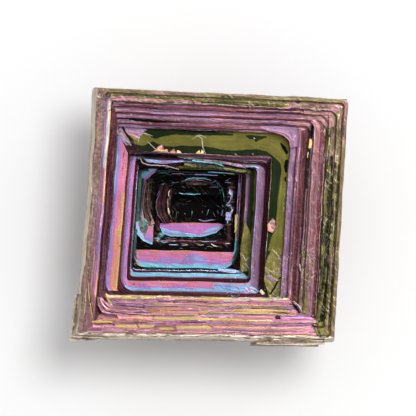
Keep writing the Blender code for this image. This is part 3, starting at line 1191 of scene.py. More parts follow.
@dataclass
class TerraceMaker:
    """Builds terraces as closed solids that stand in the crystal's skin."""

    plan: SkewSquare = field(default_factory=SkewSquare)
    step: float = 0.22  # distance between points along a terrace
    fray: float = 0.05  # how far their edges stray
    fray_scale: float = 2.3  # how close the bends of the frayed edges lie
    most_columns: int = 90  # the most faces along one terrace
    batch: int = 40  # how many are joined at a time

    def point(self, spot: Vector, lower: float = 0.0) -> Vector:
        """A terrace's point in metres, moved with the funnel and strayed a little.

        Args:
            spot: the distances from the left and from the front, and the depth.
            lower: how far to go down from there.

        Returns:
            The point in the crystal's frame.
        """
        stray = noise.noise_vector(spot * self.fray_scale) * self.fray
        across, along = self.plan.down_funnel(spot.x + stray.x, spot.y + stray.y, spot.z)
        return self.plan.place(across, along, spot.z) - Vector((0, 0, lower * MM))

    def build(self, number: int, terrace: Terrace) -> bpy.types.Object:
        """Model one terrace: a grid laid between its two lines and extruded down.

        Args:
            number: its number, for its name.
            terrace: the terrace.

        Returns:
            Its object.
        """
        columns = max(2, min(self.most_columns, round(terrace.length / self.step)))
        rows = terrace.rows if len(set(terrace.films)) > 1 else 2
        deselect_all()
        bpy.ops.mesh.primitive_grid_add(x_subdivisions=columns, y_subdivisions=rows, size=2.0, calc_uvs=False)
        made = bpy.context.object
        made.name = f"terrace_{number}"
        bpy.ops.object.mode_set(mode="EDIT")
        bm = bmesh.from_edit_mesh(made.data)
        along, over = bm.verts.layers.float.new("along"), bm.verts.layers.float.new("over")
        for vert in bm.verts:
            vert[along], vert[over] = (vert.co.x + 1) / 2, (vert.co.y + 1) / 2
            vert.co = self.point(terrace.spot(vert[along], vert[over]))
        bpy.ops.mesh.select_all(action="SELECT")
        bpy.ops.mesh.extrude_region_move()
        bm = bmesh.from_edit_mesh(made.data)
        along, over = bm.verts.layers.float["along"], bm.verts.layers.float["over"]
        lower = bm.verts.layers.int.new("lower")
        for vert in bm.verts:
            if vert.select:
                vert[lower] = 1
                vert.co = self.point(terrace.spot(vert[along], vert[over]), terrace.drop)
        self.paint(bm, terrace)
        bpy.ops.mesh.select_all(action="SELECT")
        bpy.ops.mesh.normals_make_consistent(inside=False)
        bpy.ops.object.mode_set(mode="OBJECT")
        return made

    def paint(self, bm: bmesh.types.BMesh, terrace: Terrace) -> None:
        """Store the finish of a terrace.

        Args:
            bm: its mesh.
            terrace: the terrace.
        """
        along, over = bm.verts.layers.float["along"], bm.verts.layers.float["over"]
        lower = bm.verts.layers.int["lower"]
        layers = FinishLayers(bm)
        width = (Vector(terrace.lip[0]) - Vector(terrace.root[0])).length
        for face in bm.faces:
            shares = [loop.vert[over] for loop in face.loops]
            near, far = min(shares), max(shares)
            films = film_pair(terrace.films, near, far)
            on_top = not any(loop.vert[lower] for loop in face.loops)
            if terrace.side_film and not on_top:
                films = (terrace.side_film.place,) * 2
            for loop, share in zip(face.loops, shares):
                film = films[0 if share - near < far - share else 1]
                spot = (loop.vert[along] * terrace.length, share * width)
                layers.store(loop, film, terrace.wear.amounts, spot)

    def build_all(self, terraces: tuple[Terrace, ...], name: str) -> bpy.types.Object:
        """Model terraces as one piece.

        Args:
            terraces: the terraces.
            name: what the piece is called.

        Returns:
            The piece.
        """
        made = []
        for number, terrace in enumerate(terraces):
            made.append(self.build(number, terrace))
            if len(made) > self.batch:
                made = [join(made, name)]
        return join(made, name)


@dataclass(frozen=True)
class Strata:
    """Thin growth layers scattered over a part of one side, each ending in a slanted jog."""

    side: Side
    insets: Pair  # the least and the greatest distance from it
    reach: Pair  # the part of the side that they lie in, as shares of it
    films: Films  # the films that they are picked from
    count: int  # how many there are
    lengths: Pair  # the shortest and the longest
    widths: Pair  # the narrowest and the widest
    seed: int  # picks one scatter out of many
    wear: WearAndShade = CLEAR  # how they vary
    edge: Film = MAROON  # film on their edges: a dark outline of painted shade
    margin: float = 0.4  # how much further from the side's ends than from the side itself they stay
    bend: float = 0.06  # how far their middles bend
    middle: Pair = (0.3, 0.7)  # the least and the greatest share of the length at which they bend
    rise: Pair = (0.02, 0.05)  # how far the lowest and the highest stand above the ledge
    drop: float = 0.25  # how far they go down

    def spot(self, inset: float, along: float) -> Pair:
        """The distances from the left and from the front of a place on the side."""
        plan = SkewSquare()
        return {
            Side.FRONT: (along, inset),
            Side.RIGHT: (plan.width - inset, along),
            Side.BACK: (along, plan.length - inset),
            Side.LEFT: (inset, along),
        }[self.side]

    def lay(self) -> list[Terrace]:
        """Scatter the layers.

        Returns:
            The layers as terraces.
        """
        pick = random.Random(self.seed)
        plan = SkewSquare()
        side_length = plan.width if self.side in (Side.FRONT, Side.BACK) else plan.length
        made = []
        for number in range(self.count):
            inset = self.insets[0] + (self.insets[1] - self.insets[0]) * (number + pick.random()) / self.count
            margin = inset + self.margin
            low = max(self.reach[0] * side_length, margin)
            high = min(self.reach[1] * side_length, side_length - margin)
            length = min(pick.uniform(*self.lengths), high - low)
            start = pick.uniform(low, high - length)
            width = pick.uniform(*self.widths)
            jogs = [pick.choice((-1.0, 0.0, 1.0)) * width for _ in range(2)]
            bend = pick.uniform(-self.bend, self.bend)
            middle = start + length * pick.uniform(*self.middle)
            root = ((inset, start), (inset + bend, middle), (inset, start + length))
            lip = ((inset + width, start + jogs[0]), (inset + width + bend, middle),
                   (inset + width, start + length + jogs[1]))
            film = pick.choice(self.films)
            made.append(Terrace(
                side_depth(self.side, inset + width / 2) - pick.uniform(*self.rise),
                tuple(self.spot(*point) for point in root), tuple(self.spot(*point) for point in lip),
                (film,), self.drop, side_film=self.edge, wear=self.wear,
            ))
        return made


@dataclass(frozen=True)
class Scatter:
    """Small chips and glinting edges scattered over a part of the funnel, mostly along the nearest side."""

    low: Pair  # the least distances from the left and from the front
    high: Pair  # the greatest
    films: Films  # the films that they are picked from
    count: int  # how many there are
    lengths: Pair  # the shortest and the longest
    widths: Pair  # the narrowest and the widest
    tilt: float  # how far they turn from the side's direction, in degrees
    seed: int  # picks one scatter out of many
    bend: float = 0.25  # how far their middles bend, as a share of half their length
    drop: float = 0.25  # how far they go down

    def lay(self) -> list[Terrace]:
        """Scatter the pieces.

        Returns:
            The pieces as terraces that follow the funnel.
        """
        pick = random.Random(self.seed)
        plan = SkewSquare()
        made = []
        for _ in range(self.count):
            spot = Vector((pick.uniform(self.low[0], self.high[0]), pick.uniform(self.low[1], self.high[1])))
            to_side = min(spot.x, plan.width - spot.x), min(spot.y, plan.length - spot.y)
            level = side_depth(Side.FRONT, to_side[1]) < side_depth(Side.LEFT, to_side[0])
            angle = math.radians((0 if level else 90) + pick.uniform(-self.tilt, self.tilt))
            reach = Vector((math.cos(angle), math.sin(angle))) * pick.uniform(*self.lengths) / 2
            bend = reach.orthogonal() * pick.uniform(-self.bend, self.bend)
            line = tuple(tuple(point) for point in (spot - reach, spot + bend, spot + reach))
            width = pick.uniform(*self.widths)
            made.append(ridge(None, line, width, pick.choice(self.films), CHIPPED, self.drop))
        return made


STRATA = (
    Strata(Side.FRONT, (0.8, 2.4), (0.04, 0.97), (BLUSH, ORCHID, PINK, SALMON, LILAC, ROSE, BLUSH), 26,
        (2.0, 9.0), (0.06, 0.22), 11),
    Strata(Side.FRONT, (2.5, 4.9), (0.14, 0.86), (BLUSH, PINK, LILAC, SALMON, BLUSH, LILAC, GOLD, BLUSH), 40,
        (1.5, 8.0), (0.06, 0.24), 12),
    Strata(Side.FRONT, (4.55, 4.98), (0.15, 0.85), (GOLD, BARE, GOLD, SALMON), 12, (1.0, 3.5), (0.08, 0.2),
        13),
    Strata(Side.FRONT, (0.9, 4.6), (0.1, 0.9), (MAROON, BLACK, MAUVE), 22, (0.6, 4.0), (0.03, 0.07), 14),
    Strata(Side.BACK, (0.2, 1.5), (0.05, 0.97), (TAN, OLIVE, BOTTLE, OLIVE, ROSE), 34, (0.8, 6.0),
        (0.04, 0.12), 21, SPECKLED),
    Strata(Side.BACK, (1.6, 4.5), (0.12, 0.8), (MAUVE, MAUVE, LILAC, CRIMSON, MAUVE, MAROON, LILAC, ROSE),
        40, (3.0, 14.0), (0.05, 0.16), 22, ROSY),
    Strata(Side.BACK, (1.9, 2.0), (0.1, 0.83), (CRIMSON, MAROON), 4, (7.0, 16.0), (0.1, 0.16), 24, ROSY),
    Strata(Side.BACK, (2.7, 2.85), (0.1, 0.83), (CRIMSON, CRIMSON), 4, (9.0, 18.0), (0.12, 0.18), 25, ROSY),
    Strata(Side.BACK, (3.9, 4.05), (0.1, 0.78), (CRIMSON, CRIMSON), 4, (9.0, 16.0), (0.12, 0.18), 26, ROSY),
    Strata(Side.BACK, (3.5, 3.7), (0.13, 0.45), (BOTTLE, BLACK), 5, (3.0, 7.0), (0.06, 0.16), 23),
    Strata(Side.RIGHT, (0.2, 1.3), (0.03, 0.97), (TAN, OLIVE, ROSE, BOTTLE), 46, (0.5, 3.0), (0.04, 0.1), 31,
        SPECKLED),
    Strata(Side.RIGHT, (1.3, 2.3), (0.08, 0.9), (BOTTLE, BLACK, OLIVE, BOTTLE, ROSE), 44, (0.5, 3.0),
        (0.05, 0.16), 32, SPECKLED),
    Strata(Side.RIGHT, (2.35, 2.75), (0.12, 0.92), (BARE, MAROON, MAROON, TAN, CRIMSON), 12, (2.0, 12.0),
        (0.04, 0.1), 33, LINED),
    Strata(Side.RIGHT, (2.8, 3.9), (0.14, 0.9), (ROSE, ROSE, MAUVE, ROSE), 12, (2.0, 10.0), (0.05, 0.16), 34,
        ROSY),
    Strata(Side.RIGHT, (4.6, 5.9), (0.2, 0.84), (CRIMSON, MAROON, MAROON, MAUVE), 14, (3.0, 12.0),
        (0.04, 0.12), 35, ROSY),
    Strata(Side.LEFT, (0.35, 1.4), (0.03, 0.97), (BARE, TAN, TAN, ROSE, TAN, LILAC, MAUVE), 36, (1.5, 9.0),
        (0.03, 0.1), 41, STEADY, MAUVE),
    Strata(Side.LEFT, (2.28, 3.1), (0.14, 0.88), (CRIMSON, MAROON, MAROON, BLACK, MAUVE), 24, (2.0, 14.0),
        (0.04, 0.1), 42),
    Strata(Side.LEFT, (1.5, 2.2), (0.1, 0.7), (LILAC, LAVENDER, PINK, SALMON), 8, (1.5, 7.0), (0.05, 0.12),
        43),
)

SCATTERS = (
    # the first four lie in the pit, where their black and maroon pieces are painted shade
    Scatter((6.6, 10.6), (17.0, 19.4), (BLACK, TEAL, BOTTLE, MAROON, MAUVE, BOTTLE, TEAL, LILAC), 110,
        (0.2, 0.9), (0.03, 0.08), 18.0, 51),
    Scatter((8.0, 17.6), (16.5, 19.3), (TEAL, LILAC, SKY, MAROON, LAVENDER), 26, (0.2, 0.8), (0.05, 0.12),
        30.0, 52),
    Scatter((14.9, 13.0), (17.1, 19.0), (LILAC, SKY, TEAL, MAROON, LAVENDER, CYAN), 30, (0.2, 0.9),
        (0.05, 0.14), 40.0, 53),
    Scatter((8.2, 10.5), (16.8, 11.9), (LILAC, SKY, BARE, MAROON, MAUVE), 26, (0.2, 0.9), (0.04, 0.1), 18.0,
        54),
    Scatter((25.3, 5.0), (26.9, 11.0), (LILAC, OLIVE, BLUSH, TAN, OLIVE, ROSE, MAUVE), 90, (0.2, 0.9),
        (0.06, 0.16), 60.0, 55),
    Scatter((22.8, 4.9), (24.5, 11.0), (LILAC, ORCHID, LILAC, TAN, OLIVE), 40, (0.15, 0.6), (0.06, 0.18),
        70.0, 56),
    Scatter((21.4, 5.0), (23.9, 8.5), (OLIVE, TAN, OLIVE, LILAC), 24, (0.2, 0.7), (0.05, 0.12), 80.0, 57),
    Scatter((17.0, 4.9), (21.0, 7.9), (BARE, SKY, LILAC, CYAN), 24, (0.15, 0.8), (0.03, 0.07), 60.0, 58),
    Scatter((4.0, 19.4), (11.0, 21.6), (LILAC, SKY, MAROON, BLACK, TEAL), 26, (0.2, 1.0), (0.04, 0.12), 20.0,
        59),
    Scatter((26.2, 20.0), (29.6, 28.6), (BARE, TAN, OLIVE, ROSE, BOTTLE), 70, (0.15, 0.7), (0.03, 0.08),
        55.0, 60),
    Scatter((0.4, 0.5), (28.0, 4.9), (BARE, MAROON, TAN, MAUVE), 60, (0.05, 0.3), (0.03, 0.08), 60.0, 61),
    Scatter((3.0, 24.2), (26.0, 28.6), (BARE, MAROON, TAN, LILAC), 70, (0.05, 0.4), (0.03, 0.07), 40.0, 62),
    Scatter((6.5, 20.9), (21.0, 21.6), (LILAC, ROSE, TEAL, MAUVE, SKY, LILAC), 60, (0.3, 1.6), (0.04, 0.11),
        8.0, 63),
    Scatter((26.4, 3.0), (29.5, 20.0), (TAN, BARE, OLIVE, ROSE, BOTTLE), 150, (0.2, 0.9), (0.03, 0.06), 65.0,
        64),
    Scatter((2.0, 27.3), (28.0, 28.5), (TAN, BARE, OLIVE, ROSE, BOTTLE), 150, (0.2, 0.8), (0.03, 0.06), 65.0,
        65),
    Scatter((1.0, 0.15), (28.8, 0.75), (TAN, MAUVE, BARE, BLACK, BARE, TAN), 90, (0.3, 1.4), (0.03, 0.07),
        8.0, 67),
    Scatter((0.6, 26.2), (2.8, 28.5), (LILAC, MAROON, OLIVE, TAN, MAUVE, BARE), 60, (0.2, 0.7), (0.04, 0.09),
        70.0, 66),
)

BROAD_LEDGE = (  # the olive film, its dark islands and the chips on it
    Terrace(3.38,
        ((5.05, 23.2), (5.75, 23.95), (7.9, 24.1), (13.9, 24.2), (17.0, 24.4), (20.4, 24.4), (21.9, 24.3),
        (22.8, 23.8), (23.2, 22.9), (23.26, 19.8), (23.25, 10.7)),
        ((5.2, 22.45), (6.3, 22.35), (7.2, 22.9), (8.4, 22.4), (9.7, 22.35), (10.5, 22.6), (13.9, 22.55),
        (15.5, 22.3), (17.5, 22.3), (19.4, 22.45), (20.7, 22.15), (21.6, 21.5), (22.3, 20.9), (22.5, 20.1),
        (22.35, 19.0), (22.25, 15.0), (22.2, 13.4), (21.7, 11.8), (21.5, 10.5)), (OLIVE,)),
    Terrace(3.37, ((23.25, 10.8), (23.9, 9.5), (24.3, 7.0), (23.9, 4.9)),
        ((22.0, 11.0), (21.3, 9.2), (21.2, 7.0), (22.0, 5.0)), (OLIVE,), wear=WearAndShade(0.5, 0.2, 0.3, 0.3)),
    Terrace(3.36, ((6.3, 24.25), (10.0, 24.3), (16.5, 24.2)),
        ((6.4, 23.9), (7.1, 23.35), (7.5, 23.2), (8.3, 23.5), (10.0, 23.8), (13.9, 23.85), (16.5, 24.0)),
        (BOTTLE,)),
    Terrace(3.36, ((17.9, 24.05), (19.0, 24.1), (20.5, 24.0)),
        ((18.1, 23.85), (18.5, 23.55), (18.9, 23.65), (19.25, 23.2), (19.6, 23.55), (20.5, 23.85)),
        (BOTTLE,)),
    ridge(3.3, ((18.95, 23.8), (19.1, 23.65)), 0.16, BARE),
    Terrace(3.36, ((22.15, 23.4), (22.75, 22.9), (23.1, 22.2)), ((22.1, 23.2), (22.4, 22.6), (22.95, 21.9)),
        (BLACK,), wear=BLOTCHED),
    Terrace(3.36, ((23.15, 21.4), (23.15, 19.8)), ((22.8, 21.3), (22.7, 20.6), (22.95, 19.8)), (BLACK,)),
    Terrace(3.36, ((23.1, 19.4), (23.1, 18.8)), ((22.85, 19.3), (22.9, 18.8)), (BLACK,)),
    ridge(3.36, ((23.1, 18.4), (23.0, 16.5), (23.05, 14.5)), 0.14, OLIVE, WearAndShade(0.9, 0.6, 0.8, 0.5)),
    Terrace(3.35, ((3.4, 24.7), (4.2, 23.5), (5.0, 22.2), (5.2, 21.5)),
        ((3.75, 24.6), (4.6, 23.4), (5.5, 22.1), (6.2, 21.6)), (MAROON, BLACK, MAROON), wear=DARK),
    Terrace(3.34, ((3.8, 24.5), (5.0, 24.4), (6.3, 24.2)), ((4.35, 23.7), (4.9, 23.2), (5.5, 22.8)),
        (LILAC, LILAC, LILAC, MAUVE, OLIVE), wear=WearAndShade(0.5, 0.2, 0.3)),
    Terrace(3.28, ((3.8, 24.6), (5.2, 24.5), (6.6, 24.25)), ((3.95, 24.35), (5.1, 24.25), (6.2, 24.15)),
        (ORCHID, LAVENDER, ORCHID)),
    Terrace(3.3, ((2.95, 24.6), (3.0, 23.9), (3.5, 23.2), (4.3, 22.3)),
        ((3.4, 24.75), (3.85, 24.0), (4.25, 23.4), (4.95, 22.3)), (LILAC, LILAC, TEAL, LILAC, MAUVE), 0.3,
        wear=WearAndShade(0.7, 0.3, 0.3)),
    ridge(3.37, ((10.9, 21.62), (15.0, 21.6), (21.1, 21.5)), 0.07, ROSE, CHIPPED),
    ridge(3.37, ((21.2, 21.5), (21.28, 16.0), (21.25, 8.0)), 0.06, TAN, CHIPPED),
    ridge(3.3, ((5.3, 23.9), (6.5, 23.75), (7.2, 23.5)), 0.07, BARE),
    ridge(3.3, ((6.6, 22.9), (7.1, 22.5), (7.7, 22.0)), 0.07, BARE),
    ridge(3.3, ((5.7, 23.9), (5.65, 22.7)), 0.05, BARE),
    ridge(3.3, ((12.2, 23.9), (12.9, 23.5), (13.1, 22.4), (13.5, 21.6)), 0.09, BARE),
    ridge(3.3, ((11.7, 23.3), (12.5, 23.9), (13.4, 23.6)), 0.07, BARE),
    ridge(3.3, ((12.4, 22.9), (13.2, 23.8)), 0.06, TAN),
    Terrace(3.2, ((7.4, 21.75), (8.1, 21.8), (8.7, 21.75)), ((7.6, 21.95), (8.05, 22.45), (8.5, 22.3)),
        (SALMON, ROSE), wear=CHIPPED),
    Terrace(3.15, ((7.9, 22.0), (8.4, 22.05)), ((8.0, 22.3), (8.35, 22.55)), (SALMON,), wear=CHIPPED),
    Terrace(3.2, ((8.6, 21.75), (9.1, 21.75)), ((8.7, 21.95), (9.0, 22.05)), (SALMON,), wear=CHIPPED),
    Terrace(3.2, ((9.3, 21.7), (10.0, 21.7)), ((9.5, 21.95), (9.8, 22.15)), (SALMON, ROSE), wear=CHIPPED),
    Terrace(3.2, ((10.1, 21.7), (10.7, 21.7)), ((10.2, 22.0), (10.5, 21.95)), (BARE, SALMON), wear=CHIPPED),
    Terrace(3.2, ((12.3, 21.65), (12.9, 21.65)), ((12.5, 21.95), (12.75, 22.1)), (SALMON, BARE),
        wear=CHIPPED),
    Terrace(3.15, ((12.9, 21.7), (13.3, 21.6)), ((12.95, 22.15), (13.2, 22.05)), (SALMON, BARE),
        wear=CHIPPED),
    ridge(3.3, ((16.9, 21.9), (17.1, 21.75)), 0.1, BARE),
    ridge(3.3, ((18.9, 21.95), (19.05, 21.8)), 0.12, GOLD),
    ridge(3.25, ((7.3, 21.7), (9.4, 21.65), (11.5, 21.6)), 0.06, ROSE, CHIPPED),
    Terrace(3.0, ((21.2, 13.6), (21.3, 12.9), (21.9, 12.7)), ((21.8, 14.4), (22.1, 14.0), (22.1, 13.3)),
        (SALMON, ROSE), drop=0.6, wear=WearAndShade(0.5, 0.6)),
    ridge(3.3, ((21.9, 13.9), (22.15, 13.5), (22.1, 12.9)), 0.12, LILAC),
    ridge(3.34, ((23.15, 7.5), (22.8, 6.9), (22.5, 6.2), (22.2, 5.7), (21.6, 5.2)), 0.22, BLACK),
    ridge(3.33, ((22.2, 5.6), (22.9, 5.05)), 0.1, BLACK),
    Terrace(3.3, ((21.3, 4.85), (22.6, 4.85), (24.6, 4.9)), ((21.4, 5.0), (22.8, 5.15), (24.2, 5.6)),
        (BARE, SKY, CYAN), wear=WearAndShade(0.5, 0.4)),
    Terrace(3.2, ((21.0, 6.0), (21.4, 5.5)), ((20.75, 5.7), (21.1, 5.3)), (BARE,), wear=WearAndShade(0.3, 0.3)),
    Terrace(3.28, ((21.7, 7.9), (22.5, 7.2)), ((21.5, 7.5), (22.1, 6.9)), (LILAC,), wear=WearAndShade(0.8, 0.4)),
    Terrace(3.28, ((22.9, 9.8), (23.8, 9.2)), ((22.7, 9.6), (23.6, 8.8)), (LILAC,), wear=WearAndShade(0.8, 0.4)),
)

SECOND_LEDGES = (  # the slanting back wall, the patches and the chips on the ledges round it
    Terrace(8.96, ((7.9, 8.85), (9.8, 8.75), (11.8, 8.9)), ((8.6, 9.2), (10.0, 9.5), (11.7, 9.15)),
        (ORCHID, LAVENDER, ORCHID), 0.1, wear=BLOTCHED),
    Terrace(8.96, ((11.5, 9.0), (13.2, 8.85), (14.8, 9.0)), ((11.9, 9.6), (12.9, 10.05), (14.4, 9.5)),
        (ORCHID, LAVENDER, LAVENDER, ORCHID), 0.1, wear=BLOTCHED),
    Terrace(5.37, ((6.8, 6.1), (7.9, 6.05)), ((7.0, 6.5), (7.7, 6.45)), (ORCHID,), 0.1),
    Terrace(5.37, ((10.8, 6.15), (12.4, 6.1)), ((11.0, 6.42), (12.2, 6.45)), (ORCHID,), 0.1),
    ridge(5.3, ((6.2, 6.35), (6.45, 6.3)), 0.12, MAROON),
    ridge(3.3, ((4.35, 10.75), (4.55, 10.65), (4.7, 10.75)), 0.07, BLACK),
    Terrace(4.6, ((6.0, 21.7), (10.4, 21.5)), ((6.3, 20.9), (10.5, 20.9)), (MAROON, BLACK, MAROON), 0.6,
        wear=DARK),
    Terrace(5.0, ((6.3, 20.9), (8.2, 20.7), (10.9, 20.9)), ((6.8, 20.5), (8.6, 20.3), (10.9, 20.7)),
        (LAVENDER, SKY, LAVENDER, ORCHID), 0.5, wear=WearAndShade(0.7)),
    ridge(4.9, ((8.4, 20.5), (9.1, 20.4)), 0.18, PINK),
    ridge(5.0, ((6.0, 20.9), (6.2, 20.4), (6.9, 20.15), (9.1, 20.1), (10.5, 19.75)), 0.09, BARE),
    Terrace(4.5, ((10.2, 21.4), (12.6, 21.1), (18.3, 20.6)), ((10.3, 21.2), (12.6, 20.85), (18.3, 20.2)),
        (MAUVE, TEAL, LILAC, TEAL, LILAC), 0.5, 5.2, wear=WearAndShade(0.9, 0.2, 0.7, 0.3)),
    ridge(4.6, ((12.0, 20.85), (14.6, 20.6), (15.6, 20.3)), 0.1, CYAN, end_depth=5.2),
    Terrace(5.1, ((11.1, 20.7), (14.0, 20.4), (18.2, 20.0)), ((11.0, 20.1), (14.0, 19.9), (18.4, 19.6)),
        (BLACK, OLIVE, BLACK), 0.5, wear=WearAndShade(0.8, 0.2, 0.6)),
    ridge(5.3, ((10.4, 20.05), (12.0, 20.1), (15.0, 19.85)), 0.2, OLIVE),
    ridge(6.2, ((13.9, 19.55), (15.6, 19.5), (16.9, 19.5)), 0.12, CYAN),
    ridge(6.2, ((15.6, 19.5), (16.9, 19.4)), 0.1, GOLD),
    ridge(6.6, ((9.8, 19.25), (11.1, 19.3)), 0.15, LILAC),
    ridge(6.6, ((12.4, 19.25), (15.0, 19.2)), 0.16, LAVENDER, BLOTCHED),
    ridge(3.27, ((3.4, 23.35), (4.6, 22.6)), 0.08, CYAN),
    Terrace(5.3, ((19.2, 6.4), (20.0, 6.3), (21.3, 5.3)), ((19.0, 5.3), (19.9, 5.0), (20.8, 4.9)),
        (SKY, LAVENDER), 0.2, wear=WearAndShade(0.9, 0.3, 0.4, 0.4)),
    ridge(5.2, ((19.1, 6.8), (19.8, 6.0), (19.7, 5.0)), 0.12, BARE),
    ridge(5.2, ((19.6, 6.2), (20.7, 5.7)), 0.1, BARE),
    ridge(5.2, ((16.5, 6.2), (18.6, 5.7)), 0.07, SKY),
    ridge(5.2, ((17.2, 5.4), (18.6, 5.9)), 0.06, BARE),
    Terrace(6.8, ((18.6, 13.9), (19.3, 12.5), (19.9, 8.2)), ((18.35, 12.0), (18.3, 10.5), (18.5, 8.0)),
        (OLIVE,), 0.3, wear=WearAndShade(0.5, 0.15, 0.5, 0.2)),
    ridge(6.7, ((18.6, 9.9), (19.0, 9.3), (19.3, 9.7)), 0.12, BARE),
    ridge(6.7, ((19.0, 9.0), (19.4, 8.4)), 0.12, SKY),
    ridge(5.3, ((19.9, 10.5), (20.1, 9.3), (20.0, 8.3)), 0.1, ROSE, WearAndShade(0.8, 0.4)),
    ridge(8.9, ((17.4, 14.6), (17.5, 13.0), (17.4, 12.6)), 0.22, GOLD, WearAndShade(0.7, 0.2)),
    ridge(8.9, ((17.6, 18.3), (17.65, 16.9)), 0.12, LAVENDER),
    Terrace(7.5, ((15.7, 8.4), (17.5, 8.3), (19.4, 7.9)), ((15.9, 8.0), (17.5, 7.8), (19.6, 7.6)),
        (LILAC, SKY, MAUVE), 0.3, wear=WearAndShade(0.5, 0.1, 0.6, 0.1)),
    ridge(6.8, ((16.6, 7.5), (16.9, 7.3)), 0.22, BARE),
    ridge(6.8, ((17.6, 7.4), (18.0, 7.2)), 0.18, BARE),
    ridge(8.9, ((6.1, 9.5), (6.4, 8.9), (7.0, 8.5)), 0.09, GOLD),
    ridge(8.9, ((6.2, 8.8), (6.7, 8.45), (7.2, 8.3)), 0.08, BARE),
)

